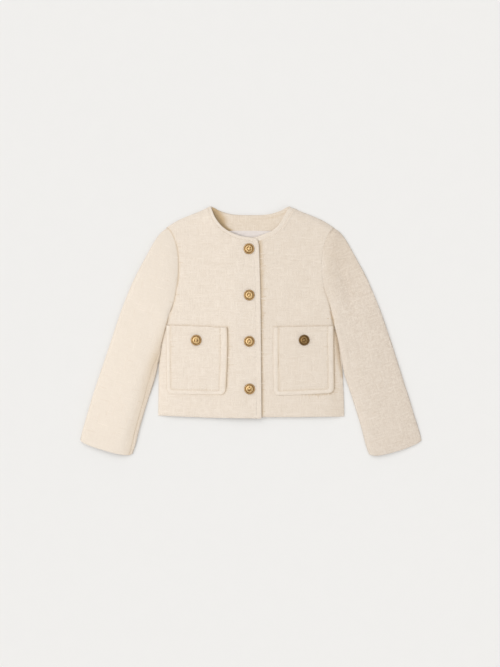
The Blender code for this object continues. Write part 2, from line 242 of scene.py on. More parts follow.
def patch(foot, top, first, last, across, up):
    """A Coons patch as rows of points: first and last run from the foot up to the top."""
    u, v = across[None, :, None], up[:, None, None]
    corners = (1 - v) * ((1 - u) * foot[0] + u * foot[-1]) + v * ((1 - u) * top[0] + u * top[-1])
    edges = (1 - v) * foot[None] + v * top[None] + (1 - u) * first[:, None] + u * last[:, None]
    return edges - corners


def direction_of(line):
    along = np.gradient(line, axis=0)
    return along / np.linalg.norm(along, axis=1, keepdims=True)


def beside(line, distance):
    """The line moved sideways, to the left of its direction when the distance is positive."""
    along = direction_of(line)
    return line + distance * np.stack([-along[:, 1], along[:, 0]], axis=1)


def distance_to(line, spots):
    """Shortest distance from each spot to a line of straight segments."""
    nearest = np.full(spots.shape[:-1], 1e9)
    for start, end in zip(line[:-1], line[1:]):
        along = end - start
        share = np.clip((spots - start) @ along / (along @ along), 0, 1)
        nearest = np.minimum(nearest, np.linalg.norm(spots - start - share[..., None] * along, axis=-1))
    return nearest


# %% Rolls, steps and unevenness


def ease(share):
    share = np.clip(share, 0, 1)
    return share * share * (3 - 2 * share)


def after(place, start, stretch):
    """0 as far as the start, and 1 from a stretch beyond it."""
    return ease((place - start) / stretch)


def padded(distance, radius):
    """0 at an edge and 1 a radius inside it, falling away ever faster, as thick soft cloth does."""
    return 1 - (1 - np.clip(distance / radius, 0, 1)) ** 3


def roll(distance, radius):
    """0 at an edge and 1 a radius inside it, rising like a quarter of a circle."""
    return np.sqrt(1 - (1 - np.clip(distance / radius, 0, 1)) ** 2)


def bell(distance, width):
    """1 at no distance, and about a third at a distance of one width."""
    return np.exp(-((distance / width) ** 2))


def blend(first, second, share):
    """Between the first value and the second, by that share of the way."""
    return first + (second - first) * share


def uneven(spots, size, seed):
    """Smooth seeded noise from about -1 to 1, with lumps of about that size in millimetres."""
    lattice = np.random.default_rng(seed).uniform(-1, 1, (256, 256))
    cells = spots / size + 128.0
    low = np.floor(cells).astype(int)
    x, y = np.moveaxis(ease(cells - low), -1, 0)
    i, j = low[..., 0] % 255, low[..., 1] % 255
    near = lattice[i, j] * (1 - x) + lattice[i + 1, j] * x
    far = lattice[i, j + 1] * (1 - x) + lattice[i + 1, j + 1] * x
    return near * (1 - y) + far * y


# %% [markdown]
# ### From rows of points to a cloth object
# Each panel starts as one layer of faces. A Solidify modifier gives it the cloth's thickness, inwards, and
# a Bevel rounds its cut edges, so the outside stays exactly where it was drafted. Three things travel with
# the mesh for the materials: a UV map in metres along the grain, how much tan painted shade each point
# has, in its seams and beside raised parts, and the grain's direction.

# %% Meshes from grids
EDGE_ROUND = 0.38  # how much of the cloth's thickness its edges are rounded by
pieces = {}


def grid_faces(rows, columns, closed=False):
    across = columns if closed else columns - 1
    row, column = np.meshgrid(np.arange(rows - 1), np.arange(across), indexing="ij")
    beyond = (column + 1) % columns
    corners = [row * columns + column, row * columns + beyond]
    corners += [(row + 1) * columns + beyond, (row + 1) * columns + column]
    return np.stack(corners, axis=-1).reshape(-1, 4)


def tube_faces(rows, columns, flipped=False):
    """Faces of a tube made of rings, with a cap at each end."""
    faces = grid_faces(rows, columns, closed=True).tolist()
    faces += [list(range(columns))[::-1], list(range((rows - 1) * columns, rows * columns))]
    return [face[::-1] for face in faces] if flipped else faces


def upwardness(points, faces):
    """How far the normal of each four-sided face points up."""
    corners = points.reshape(-1, 3)[faces]
    return np.cross(corners[:, 2] - corners[:, 0], corners[:, 3] - corners[:, 1])[:, 2]


def put(made):
    bpy.context.scene.collection.objects.link(made)
    return made


def keep(mesh, name, values, kind="FLOAT", field="value"):
    """Keep a value for each point on the mesh, for the materials."""
    kept = mesh.attributes.new(name, kind, "POINT")
    kept.data.foreach_set(field, values.astype(np.float32).ravel())


def mesh_object(name, points, faces, uv, seam, grain):
    """A smooth object with its UV map, its share of tan painted shade (its wear, on a button) and grain.
    Points are in millimetres.
    """
    mesh = bpy.data.meshes.new(name)
    mesh.from_pydata((points.reshape(-1, 3) * MM).tolist(), [], [list(map(int, face)) for face in faces])
    corner_vertex = np.empty(len(mesh.loops), np.int32)
    mesh.loops.foreach_get("vertex_index", corner_vertex)
    layer = mesh.uv_layers.new(name="UVMap")
    layer.uv.foreach_set("vector", (uv.reshape(-1, 2) * MM)[corner_vertex].astype(np.float32).ravel())
    keep(mesh, "seam", np.broadcast_to(seam, points.shape[:-1]))
    keep(mesh, "grain", np.broadcast_to(grain, points.shape), "FLOAT_VECTOR", "vector")
    mesh.shade_smooth()
    return put(bpy.data.objects.new(name, mesh))


def cloth(name, points, uv, seam, grain, outside_up=True, thickness=CLOTH, free=("first", "last", "sides")):
    """A one-layer panel with its outside facing up or down, and its thickness inside it.

    free names its unsewn edges, which are rounded: its first row, its last row or its sides.
    """
    faces = grid_faces(*points.shape[:2])
    if (upwardness(points, faces).sum() > 0) != outside_up:
        faces = faces[:, ::-1]
    made = mesh_object(f"{name}_cloth", points, faces, uv, seam, grain)
    wall = made.modifiers.new("cloth thickness", "SOLIDIFY")
    wall.thickness = thickness * MM
    wall.offset = -1
    index = np.arange(points.shape[0] * points.shape[1]).reshape(points.shape[:2])
    lines = {"first": index[0], "last": index[-1], "sides": index[:, [0, -1]].ravel()}
    edges = made.vertex_groups.new(name="free edges")
    for line in free:
        edges.add(lines[line].tolist(), 1.0, "REPLACE")
    edge = made.modifiers.new("soft edges", "BEVEL")
    edge.limit_method = "VGROUP"
    edge.vertex_group = edges.name
    edge.width = EDGE_ROUND * thickness * MM
    edge.segments = 3
    pieces[name] = made
    print(name, len(made.data.polygons), "faces in its outer layer")
    return made


def flat_panel(name, spots, height, seam, **how):
    """A panel cut flat: its UV map is its plan and its grain runs down it."""
    return cloth(name, at_height(spots, height), spots, seam, [0, 1, 0], **how)


# %% [markdown]
# ## How high each layer lies
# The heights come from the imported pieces: the back lies on the table, and the fronts lie on it with a
# little air. A front rolls down to its side seam and shoulder. The right front rises to lap over the left
# one. At each neck point the cloth stands up, because it turns over there to the back. Soft creases are
# placed one by one.

# %% Heights of the fronts
FRONT_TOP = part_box("front_left")[1].z / MM
LAP_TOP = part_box("front_right")[1].z / MM
SIDE_EDGE_TOP = 2.8  # height of the side seam and of the shoulder
SIDE_ROLL = {RIGHT: 42.0, LEFT: 62.0}
SHOULDER_ROLL = 20.0
LAP_SLOPE = (-104.0, 74.0)  # x from which the right front rises over the left one, and how far it takes
SEAM_DIP, SEAM_WIDTH = 1.5, 2.6  # the groove where a seam pulls the cloth in
WIDE_DIP, WIDE_WIDTH = 0.7, 12.0  # the shallow trough round an armhole seam
NECK_SEAM_DIP = {RIGHT: 0.85, LEFT: 0.95}
FOLD_DIP = {RIGHT: 0.4, LEFT: 2.3}  # how far a sleeve's fold sinks into the front it lies on
FOLD_SHADE = {RIGHT: 0.35, LEFT: 0.95}  # how much tan painted shade lies on the cloth beside that fold
NECK_LIFT = {RIGHT: (8.5, 27.0), LEFT: (0.5, 26.0)}  # height of the neck edge, and how far it spreads
NECK_HELD = 24.0  # how far from the shoulder seam the neck edge is held down
NECK_SEAM_WIDTH, FOLD_WIDTH = 1.8, 3.0
HEM_ROLL, HEM_DROP = 10.0, 2.2  # the hem rolls down from here, by this much

BODY_CREASES = (  # soft troughs and ridges: side, drafted ends, width, and depth below or above the cloth
    (RIGHT, (168, 178), (112, 262), 11, -0.55),
    (RIGHT, (176, 205), (150, 275), 8, 0.40),
    (RIGHT, (92, 96), (38, 106), 10, 0.35),
    (RIGHT, (84, 214), (18, 214), 9, 0.30),
    (RIGHT, (60, 150), (44, 285), 14, -0.35),
    (RIGHT, (205, 300), (207, 470), 7, -0.45),
    (RIGHT, (42, 350), (36, 480), 10, -0.35),
    (LEFT, (166, 170), (104, 250), 13, -0.50),
    (LEFT, (178, 212), (140, 280), 9, 0.45),
    (LEFT, (-10, 225), (62, 204), 10, 0.30),
    (LEFT, (70, 110), (46, 262), 16, -0.40),
    (LEFT, (206, 320), (204, 480), 8, -0.50),
    (LEFT, (10, 340), (30, 490), 12, -0.35),
)


def creased(side, spots, creases):
    """Height that the soft creases of this side add at each spot."""
    added = np.zeros(spots.shape[:-1])
    for own_side, *ends, wide, deep in creases:
        if own_side != side:
            continue
        start, end = plan(side, ends)
        along = end - start
        share = (spots - start) @ along / (along @ along)
        away = np.linalg.norm(spots - start - share[..., None] * along, axis=-1)
        taper = np.sin(np.pi * np.clip(share, 0, 1)) ** 0.8
        added += deep * taper * bell(away, wide)
    return added


def neck_lift(side, spots):
    """The neck edge stands up beside the neck point, where the cloth turns over to the back."""
    height, spread = NECK_LIFT[side]
    upper_neck = smooth_line(plan(side, FRONT_NECK[side][:4]), np.linspace(0, 0.72, 12))
    sewn_down = ease(distance_to(plan(side, SHOULDER), spots) / NECK_HELD)
    return height * sewn_down * bell(distance_to(upper_neck, spots), spread)


def front_rest(side, spots):
    """Height of a front's upper face, before its seams pull it in."""
    full = np.minimum(
        padded(distance_to(plan(side, SIDE_SEAM[side]), spots), SIDE_ROLL[side]),
        padded(distance_to(plan(side, SHOULDER), spots), SHOULDER_ROLL),
    )
    height = blend(SIDE_EDGE_TOP, FRONT_TOP, full)
    if side == RIGHT:
        height += (LAP_TOP - FRONT_TOP) * after(spots[..., 0], *LAP_SLOPE)
    height += neck_lift(side, spots) + 0.45 * uneven(spots, 46, 3 + side) + 0.20 * uneven(spots, 17, 9 + side)
    return height + creased(side, spots, BODY_CREASES)


def texture_lumps(spots, seed):
    """Unevenness of thick boucle that is too large for the weave's bump."""
    return 0.11 * uneven(spots, 6.5, seed) + 0.07 * uneven(spots, 4.0, seed + 1)


# %% [markdown]
# ## Fronts and back
# On the real jacket each front is one flat panel, interlined so that it stays smooth. Its grain runs down
# the front, so its UV map is simply its plan. The seams pull the cloth down at the armhole and beside
# the bands, and so does a sleeve where its fold lies on it. Those grooves, and the shade beside the
# pockets, the lap and the left sleeve, are painted in: there the cloth is mixed with a tan painted shade.

# %% Outlines of the body's panels
STEP, HIDDEN_STEP = 2.6, 3.4  # size of the faces, where they show and on the back


def neck_line(side):
    return plan(side, FRONT_NECK[side])


def sewn_neck(side):
    """The line along which the neck band is sewn to a front."""
    return beside(drawn(neck_line(side), 60), side * (NECK_BAND_WIDTH[side] - BAND_TUCK))


def armhole(side):
    return drawn(plan(side, ARMHOLE[side]), 90)


def side_length(side):
    """Length of the side seam and the armhole together."""
    return length_of(plan(side, SIDE_SEAM[side])) + length_of(plan(side, ARMHOLE[side]))


def side_edge(side, up):
    """From the hem up the side seam and round the armhole, at shares of the whole length."""
    seam, hole = plan(side, SIDE_SEAM[side]), plan(side, ARMHOLE[side])
    split = length_of(seam) / side_length(side)
    lower = smooth_line(seam, up[up <= split] / split)
    return np.vstack([lower, smooth_line(hole[::-1], (up[up > split] - split) / (1 - split))])


def front_outline(side):
    """Hem, shoulder, outer edge and inner edge of a front, with their shares."""
    up = shares_for(side_length(side), STEP)
    outer = side_edge(side, up)
    hem_points = plan(side, [SIDE_SEAM[side][0], *HEM[side]])
    neck = sewn_neck(side)
    if side == RIGHT:
        edge = plan(side, LAP_EDGE) - [FRONT_BAND_WIDTH - BAND_TUCK, 0]
        neck = neck[neck[:, 0] < edge[-1, 0] - 1.5]
        hem_points[-1] = edge[0]
        opening = edge[:-1]
    else:
        opening = plan(side, LEFT_EDGE)
    opening_line = drawn(np.vstack([opening, neck[-1]]), 200)
    inner = resampled(np.vstack([opening_line[:-1], neck[::-1]]), up)
    across = shares_for(length_of(hem_points), STEP)
    hem = smooth_line(hem_points, across)
    shoulder = smooth_line(np.vstack([plan(side, SHOULDER)[:-1], inner[-1]]), across)
    return hem, shoulder, outer, inner, across, up


# %% Outline of a pocket
POCKET_NEAR, POCKET_FAR = 54.0, 201.0
POCKET_TOP, POCKET_FOOT = 289.0, 452.0
POCKET_BAND_FOOT = 10.5
POCKET_BANDS = {RIGHT: (17.0, 10.0), LEFT: (13.0, 14.5)}  # width by the opening and by the side seam
POCKET_RADIUS, PANEL_RADIUS = 13.0, 5.0
RIM_ROWS = 56  # points along each side of a pocket's rim
POCKET_BULGE = {RIGHT: 2.8, LEFT: 0.4}  # how far the edge by the opening has worked outwards
POCKET_CORNERS = {  # as sewn: top and foot by the opening, then top and foot by the side seam
    RIGHT: ((56.0, 290.4), (58.5, 453.0), (201.5, 285.2), (200.0, 450.2)),
    LEFT: ((55.6, 289.8), (56.0, 454.6), (200.2, 287.0), (202.2, 448.4)),
}


def pocket_rim(side, near, far, foot, radius):
    """Near edge, foot and far edge of a pocket, with as many points whatever its size."""
    rim = [(near, drop) for drop in np.linspace(POCKET_TOP, foot - radius, RIM_ROWS)[:-1]]
    for centre, start in ((near + radius, 180), (far - radius, 90)):
        for angle in np.radians(np.linspace(start, start - 90, 12)):
            rim.append((centre + radius * np.cos(angle), foot - radius + radius * np.sin(angle)))
        if start == 180:
            rim += [(out, foot) for out in np.linspace(near + radius, far - radius, 46)[1:-1]]
    rim += [(far, drop) for drop in np.linspace(foot - radius, POCKET_TOP, RIM_ROWS)[1:]]
    rim = np.array(rim)
    across = ((rim[:, 0] - POCKET_NEAR) / (POCKET_FAR - POCKET_NEAR))[:, None]
    down = ((rim[:, 1] - POCKET_TOP) / (POCKET_FOOT - POCKET_TOP))[:, None]
    near_top, near_foot, far_top, far_foot = np.array(POCKET_CORNERS[side])
    sewn = (1 - across) * ((1 - down) * near_top + down * near_foot)
    sewn += across * ((1 - down) * far_top + down * far_foot)
    sewn[:, 0] -= (POCKET_BULGE[side] * np.sin(np.pi * down**0.62) * (1 - across) ** 3)[:, 0]
    return plan(side, sewn)


# %% Make the fronts
# Where things change down a front, or across it: the place, and the stretch over which they do.
UNDERARM = (165.0, 60.0)
LAP_NARROWS = (120.0, 240.0)
POCKET_MOUTH, POCKET_CORNER = (284.0, 14.0), (436.0, 12.0)
SIDE_PANEL = (176.0, 30.0)
# Grooves in millimetres, and how much tan painted shade lies on the cloth there.
POCKET_DIP, LEE_DIP, POCKET_DIP_WIDTH = 0.2, 0.5, 3.0  # round a pocket, and more on its lee side
POCKET_SHADE, LEE_SHADE, POCKET_SHADE_WIDTH = 0.06, 0.64, 4.0
LEE_SPREAD = 60  # the width, at a pocket's middle, over which its lee side begins
MOUTH_SHADE = 0.35
LAP_DIP, LAP_DIP_WIDTH = 0.3, 5.0
LAP_SHADE, LAP_SHADE_WIDTH, LAP_SHADE_LOSS = 0.85, 8.5, 3.5  # painted shade beside the lap, narrower further down
SHELTERED_SHADE, SHELTERED_WIDTH = 0.75, 11.0  # painted shade beside the left sleeve's fold
# painted shade on the left front's side panel, beside the sleeve
SIDE_SHADE = 0.14
LEFT_SHADE = 0.045  # painted shade: the left front is a little darker all over, as the light falls off to that side


def seam_pull(side, drop):
    """How tightly the armhole seam pulls in at each drop: hard at the underarm, softly at the shoulder."""
    if side == RIGHT:
        return eased(drop, ((86.0, 0.52), (168.0, 0.62), (240.0, 0.46)))
    return 0.40 * after(drop, *UNDERARM)


def sleeve_fold(side):
    """Where a sleeve's inner fold lies on the front."""
    return drawn(plan(side, INNER_LINE[side][FOLD_START:FOLD_END]), 40)


def make_front(side):
    hem, shoulder, outer, inner, across, up = front_outline(side)
    spots = patch(hem, shoulder, outer, inner, across, up)
    hole = distance_to(armhole(side), spots)
    fold = distance_to(sleeve_fold(side), spots)
    x, drop = spots[..., 0], drop_of(spots)
    pull = seam_pull(side, drop)
    edge_dip = pull * (SEAM_DIP * bell(hole, SEAM_WIDTH) + WIDE_DIP * bell(hole, WIDE_WIDTH))
    edge_dip += FOLD_DIP[side] * bell(fold, FOLD_WIDTH)
    rim = pocket_rim(side, POCKET_NEAR, POCKET_FAR, POCKET_FOOT, POCKET_RADIUS)
    pocket, mouth = distance_to(rim, spots), distance_to(rim[[0, -1]], spots)
    lee = ease((x - rim[:, 0].mean()) / LEE_SPREAD + 0.5)
    if side == RIGHT:
        lee *= 1 - 0.9 * after(drop, *POCKET_CORNER)
    edge_dip += (POCKET_DIP + LEE_DIP * lee) * bell(pocket, POCKET_DIP_WIDTH)
    lap = distance_to(drawn(plan(RIGHT, LAP_EDGE), 60), spots)
    if side == LEFT:
        edge_dip += LAP_DIP * bell(lap, LAP_DIP_WIDTH)
    neck_seam = distance_to(sewn_neck(side), spots)
    edge_dip += NECK_SEAM_DIP[side] * (bell(neck_seam, NECK_SEAM_WIDTH) - bell(neck_seam - 5.0, 3.0))
    rolled = HEM_DROP * (padded(distance_to(hem, spots), HEM_ROLL) - 1)
    height = front_rest(side, spots) - edge_dip + rolled + texture_lumps(spots, 20 + side)
    # Painted shade, as a share of tan: in the armhole seam, under the pocket's mouth, beside the sleeve's
    # fold, in the neck seam and round the pocket, most on its side away from the light.
    painted_shades = [
        pull * bell(hole, SEAM_WIDTH),
        MOUTH_SHADE * bell(mouth, SEAM_WIDTH),
        FOLD_SHADE[side] * bell(fold, FOLD_WIDTH),
        0.7 * NECK_SEAM_DIP[side] * bell(neck_seam, NECK_SEAM_WIDTH),
        (POCKET_SHADE + LEE_SHADE * lee) * bell(pocket, POCKET_SHADE_WIDTH),
    ]
    if side == LEFT:
        # More painted shade on the left front: beside the left sleeve's fold, on its side panel, beside the
        # lap, and a little all over.
        below_mouth = after(drop, *POCKET_MOUTH)
        painted_shades.append(SHELTERED_SHADE * below_mouth * np.exp(-((fold / SHELTERED_WIDTH) ** 4)))
        painted_shades.append(SIDE_SHADE * below_mouth * after(x, *SIDE_PANEL))
        painted_shades.append(LAP_SHADE * bell(lap, LAP_SHADE_WIDTH - LAP_SHADE_LOSS * after(drop, *LAP_NARROWS)))
        painted_shades.append(np.full(lap.shape, LEFT_SHADE))
    flat_panel(f"front_{SIDE_NAMES[side]}", spots, height, np.maximum.reduce(painted_shades), free=("first",))


for side in (RIGHT, LEFT):
    make_front(side)

# %% [markdown]
# The back is one flat panel, outside down. It stays flat on the table and its edges lift a little to meet
# the fronts' side seams, so from the side the body is one soft roll with a seam in it.

# %% Make the back


def back_neck():
    return drawn(mirrored(plan(LEFT, BACK_NECK)), 80)


def make_back():
    up = shares_for(side_length(RIGHT), HIDDEN_STEP)
    edges = {side: side_edge(side, up) for side in (RIGHT, LEFT)}
    hem_points = np.vstack([edges[LEFT][0], plan(LEFT, [(0.0, BACK_HEM_CENTRE)])[0], edges[RIGHT][0]])
    across = shares_for(length_of(hem_points), HIDDEN_STEP)
    shoulder = plan(LEFT, SHOULDER)[:-1]
    whole = np.vstack([shoulder, beside(back_neck(), BACK_BAND_WIDTH), (shoulder * [-1, 1])[::-1]])
    top = resampled(whole, across)
    spots = patch(smooth_line(hem_points, across), top, edges[LEFT], edges[RIGHT], across, up)
    edge = np.minimum(distance_to(edges[LEFT], spots), distance_to(edges[RIGHT], spots))
    edge = np.minimum(edge, distance_to(top, spots))
    flat_panel("back", spots, 0.4 * (1 - roll(edge, 9.0)), 0.0, outside_up=False, free=("first",))


make_back()

# %% [markdown]
# ## Sleeves
# A laid-out sleeve is a flattened tube. It could be two flat sheets, but then its folds would be knife
# edges. Instead each cross-section is a closed flattened ring, and the two seams cut that ring into the
# upper and the under sleeve. On the wearer's right the inner seam has rolled round on to the top, as it
# does on a real sleeve. The left sleeve also carries painted shade at each point, darker towards its
# outer fold and in a soft patch on its upper part.

# %% Cross-sections of the sleeves
SLEEVE_HEIGHT = 11.5
FULL_WIDTH = 48.0
INNER_FOLD, UNDER_FOLD = 15.0, 9.0  # radii of the folds
FOLDED_SLOPE = 42.0  # how far the right forearm slopes down to its rolled seam
OUTER_FOLD = {RIGHT: 9.0, LEFT: 13.0}
SLEEVE_UNEVEN = {RIGHT: 0.22, LEFT: 0.5}
CREST, CREST_RISE = 1.0, 6.0  # the ridge along the left armhole seam, and how soon it rises
CAP_LEAST = 4.8
ELBOW_SINK = {RIGHT: 0.14, LEFT: 0.0}  # how much lower the inner fold lies at the elbow
SEAM_PUFF = {RIGHT: 12.0, LEFT: 3.0}  # width over which a sleeve rises from the armhole
RING_STEPS = 260
OUTER_SEAM_BELOW = 14.0  # the outer seam lies under the sleeve, this far inside its fold
CUFF_BOW = {RIGHT: 3.2, LEFT: 5.0}  # how far the middle of the cuff edge stands out
CUFF_SKEW = {RIGHT: 1.0, LEFT: 1.8}
CUFF_REACH = 60.0
CUFF_CORNER, CUFF_ROLL = 8.0, 8.0  # how far in the cuff's corners are rounded, and its edge rolls down
INNER_CORNER, OUTER_CORNER = 8.0, 4.0  # how far back the corners lie
CUFF_FLATTER, CUFF_DROP = 0.30, 0.7
BODY_SHOWS = 0.38  # how much of the body's height shows on top of the sleeve
CROWN = 1.2
INNER_LEVEL, OUTER_LEVEL = 0.34, 0.37  # how far up a sleeve the middle of each fold lies
ELBOW, ELBOW_REACH = 365.0, 50.0
FOLD_GROWTH = 11.0  # how much wider the inner fold is on the forearm
RIGHT_CAP_RISE, LEFT_SLOPE = 1.8, 0.030
RIDGE, RIDGE_INSIDE, RIDGE_WIDTH = 2.2, 46.0, 34.0  # along the right forearm
LOW_HEIGHT = 0.8  # the least height of a sleeve's upper face
# Where things change down a sleeve: the drop, and the stretch over which they do.
CAP_TOP, CAP_FALLS = (56.0, 16.0), (95.0, 45.0)
LEAVES_ARMHOLE, OVER_BODY = (226.0, 44.0), (246.0, 30.0)
ROLLS_OVER = (285.0, 60.0)
SOFTER_FOLD = (330.0, 90.0)

SLEEVE_CREASES = (
    (RIGHT, (213, 75), (221, 170), 13, -0.7),
    (RIGHT, (203, 236), (232, 300), 11, 0.6),
    (RIGHT, (246, 300), (262, 400), 14, -0.6),
    (RIGHT, (262, 470), (300, 588), 7, -0.9),
    (RIGHT, (281, 500), (318, 585), 9, 0.6),
    (RIGHT, (300, 540), (322, 590), 8, -0.6),
    (RIGHT, (330, 330), (345, 450), 16, 0.5),
    (LEFT, (208, 110), (236, 225), 8, -0.55),
    (LEFT, (226, 120), (256, 235), 7, 0.45),
    (LEFT, (244, 150), (278, 265), 8, -0.50),
    (LEFT, (232, 285), (262, 395), 7, 0.45),
    (LEFT, (256, 275), (284, 390), 8, -0.45),
    (LEFT, (286, 300), (310, 415), 9, 0.50),
    (LEFT, (222, 190), (262, 300), 15, -0.9),
    (LEFT, (203, 232), (226, 300), 10, 0.5),
    (LEFT, (262, 380), (300, 500), 16, 0.6),
    (LEFT, (320, 330), (338, 440), 17, -0.7),
    (LEFT, (300, 510), (318, 590), 10, -0.6),
    (LEFT, (352, 470), (372, 560), 12, 0.5),
)


def under_the_sleeve(side, spots):
    """Height of what a sleeve lies on: the table, or the body's side below the underarm."""
    out, drop = side * spots[..., 0], drop_of(spots)
    side_out = SIDE_SEAM[side][-1][0]
    on_body = blend(SIDE_EDGE_TOP, FRONT_TOP, padded(side_out - out, SIDE_ROLL[side]))
    beyond = SIDE_EDGE_TOP * ease(1 - (out - side_out) / 20.0)
    rise = after(drop, *OVER_BODY)
    return rise * (np.where(out < side_out, on_body, beyond) + 0.4 * (out < side_out + 20.0))


def left_cap(drop, from_inner, sewn):
    """Height of the left sleeve's cap: a ridge along the seam, and from there a slow fall outwards."""
    lower = after(drop, *CAP_FALLS)
    fall = (1.9 + 2.4 * lower) * ease((from_inner - 12.0 - 2.0 * lower) / (44.0 + 6.0 * lower))
    fall += 0.058 * (1 - lower) * np.maximum(from_inner - 22.0, 0.0)
    return np.maximum(sewn + CREST * (1 - np.exp(-from_inner / CREST_RISE)) - fall, CAP_LEAST)


def sleeve_rings(side):
    """Rings of points round a sleeve, from the armhole to the cuff, and the lines they lie on."""
    places = np.linspace(0, len(SLEEVE_SECTIONS) - 1, 800)
    lengths = lengths_along((curve_at(INNER_LINE[side], places) + curve_at(OUTER_LINE, places)) / 2)
    rows = np.interp(shares_for(lengths[-1], STEP) * lengths[-1], lengths, places)
    inner, outer = plan(side, curve_at(INNER_LINE[side], rows)), plan(side, curve_at(OUTER_LINE, rows))
    outer[:, 0] -= side * eased(drop_of(outer), OUTER_EASE[side])
    width = np.linalg.norm(outer - inner, axis=1)[:, None]
    angle = np.linspace(0, np.pi, RING_STEPS)[None, :]
    across = (1 - np.cos(angle)) / 2
    spots = inner[:, None] + across[..., None] * (outer - inner)[:, None]
    from_inner, from_outer = across * width, (1 - across) * width
    drop = drop_of(inner)[:, None]
    folded = after(drop, *LEAVES_ARMHOLE)
    ground = under_the_sleeve(side, spots)
    middle = (inner + outer) / 2
    along = direction_of(middle)
    to_cuff = lengths_along(middle)
    near_cuff = ease(1 - (to_cuff[-1] - to_cuff) / CUFF_REACH)[:, None]
    full = SLEEVE_HEIGHT * (1 - np.exp(-width / FULL_WIDTH)) * (1 - CUFF_FLATTER * near_cuff)

    # The upper face where the cloth is full, away from its folds and seams.
    crown = full + BODY_SHOWS * ground + CROWN * np.sin(np.pi * across)
    crown += 0.5 * uneven(spots, 52, 30 + side) + SLEEVE_UNEVEN[side] * uneven(spots, 19, 34 + side)
    crown += creased(side, spots, SLEEVE_CREASES)
    sewn = front_rest(side, inner)[:, None] - seam_pull(side, drop) * (SEAM_DIP + WIDE_DIP)
    if side == LEFT:
        cap = left_cap(drop, from_inner, sewn)
        cap += creased(side, spots, SLEEVE_CREASES) + 0.4 * uneven(spots, 17, 38)
        by_seam = (1 - folded) * after(drop, *CAP_TOP)
        crown = by_seam * cap + (1 - by_seam) * (crown - LEFT_SLOPE * from_inner)
    low_down = after(drop, *SOFTER_FOLD)
    if side == RIGHT:
        ridge = RIDGE * low_down * bell(from_inner - RIDGE_INSIDE, RIDGE_WIDTH)
        crown += RIGHT_CAP_RISE * (1 - folded) + ridge

    # Both edges, from there: the armhole seam above, the inner fold below it, and the outer fold.
    raised = INNER_LEVEL - ELBOW_SINK[side] * bell(drop - ELBOW, ELBOW_REACH)
    inner_mid = ground[:, :1] + raised * (crown[:, :1] - ground[:, :1])
    outer_mid = OUTER_LEVEL * full
    from_seam = blend(crown, sewn, np.exp(-from_inner / SEAM_PUFF[side]))
    inner_fold = np.minimum(INNER_FOLD + FOLD_GROWTH * low_down, 0.5 * width)
    rising = padded(from_inner, inner_fold)
    if side == RIGHT:
        sloping = 1 - (1 - np.clip(from_inner / np.minimum(FOLDED_SLOPE, 0.6 * width), 0, 1)) ** 2
        rising = blend(rising, sloping, after(drop, *ROLLS_OVER))
    from_fold = blend(inner_mid, crown, rising)
    top = (1 - folded) * from_seam + folded * from_fold
    top = blend(outer_mid, top, roll(from_outer, np.minimum(OUTER_FOLD[side], 0.5 * width)))

    # The under face rests on what lies below it, and turns up into the folds.
    fold_width = np.minimum(UNDER_FOLD, 0.4 * width)
    below = ground + folded * (inner_mid - ground) * (1 - roll(from_inner, fold_width))
    below = blend(below, outer_mid, 1 - roll(from_outer, fold_width))

    # The cuff's edge bows out, its corners are rounded and it rolls down to the table.
    bow = CUFF_BOW[side] * 4 * across * (1 - across)
    corner = INNER_CORNER * np.exp(-from_inner / CUFF_CORNER)
    corner += OUTER_CORNER * np.exp(-from_outer / CUFF_CORNER)
    moved_on = near_cuff * (bow - corner + CUFF_SKEW[side] * (1 - 2 * across))
    spots = spots + moved_on[..., None] * along[:, None]
    top = top + CUFF_DROP * (padded(to_cuff[-1] - to_cuff, CUFF_ROLL) - 1)[:, None] * roll(from_outer, 9.0)
    upper = at_height(spots, np.maximum(top, LOW_HEIGHT))
    lower = at_height(spots, np.maximum(below, 0.0))[:, ::-1]
    return upper, lower, drop[:, 0], to_cuff, along


# %% Cut the rings at the seams
SEAM_SURFACES, SEAM_HIDES = (322.0, 80.0), (275.0, 40.0)  # down the right sleeve, and down the left
SHADE_TURNS, BELOW_ARMHOLE, FOREARM = (160.0, 50.0), (255.0, 12.0), (300.0, 60.0)
# where the painted shade on the top of the left sleeve fades out
TOP_SHADE_FADES = (130.0, 140.0)
SEWN_TO = 262.0  # the drop down to which a sleeve is sewn to the body
FOREARM_PULL = 0.8
SEAM_ON_TOP, SEAM_UNDER = 10.6, -10.0
SEAM_BULGE, BULGE_DROP, BULGE_LENGTH = 2.8, 412.0, 45.0
# the groove's width, and the widths of painted shade in the seam and beside the rolled seam
GROOVE_WIDTH, SEAM_SHADE_WIDTH, ROLL_SHADE_WIDTH = 2.2, 2.4, 14.0
GROOVED_ABOVE, NUBBED_ABOVE = 3.0, 2.0  # only cloth that shows has grooves and nubs, above these heights
NUBS = {RIGHT: 0.5, LEFT: 0.95}  # how far the boucle's nubs stand out
SEAM_FADE = {RIGHT: 0.35, LEFT: 0.6}  # how much fainter the seam's painted shade is on the forearm
GROOVE_FADE = {RIGHT: 0.85, LEFT: 0.6}  # how much shallower its groove is there
ROLL_SHADE = ((268, 0.0), (322, 0.34), (370, 0.60), (410, 0.42), (510, 0.24))  # painted shade beside the rolled seam
SHADE_ACROSS = ((0.0, 0.31), (0.35, 0.66), (0.60, 0.72), (0.90, 1.0))  # how much painted shade darkens the left sleeve, by share across
# painted shade on the upper left sleeve, and the strength of a painted dark patch on it
MEAN_SLEEVE_SHADE, PAINTED_PATCH = 0.625, 0.48
CREST_WIDTH, CREST_LENGTH, CREST_DROP = 13.0, 34.0, 146.0  # painted highlight on the left armhole's ridge, where the painted shade is left off
HAIR = 1e-4  # keeps places on the ring in order where two lines meet


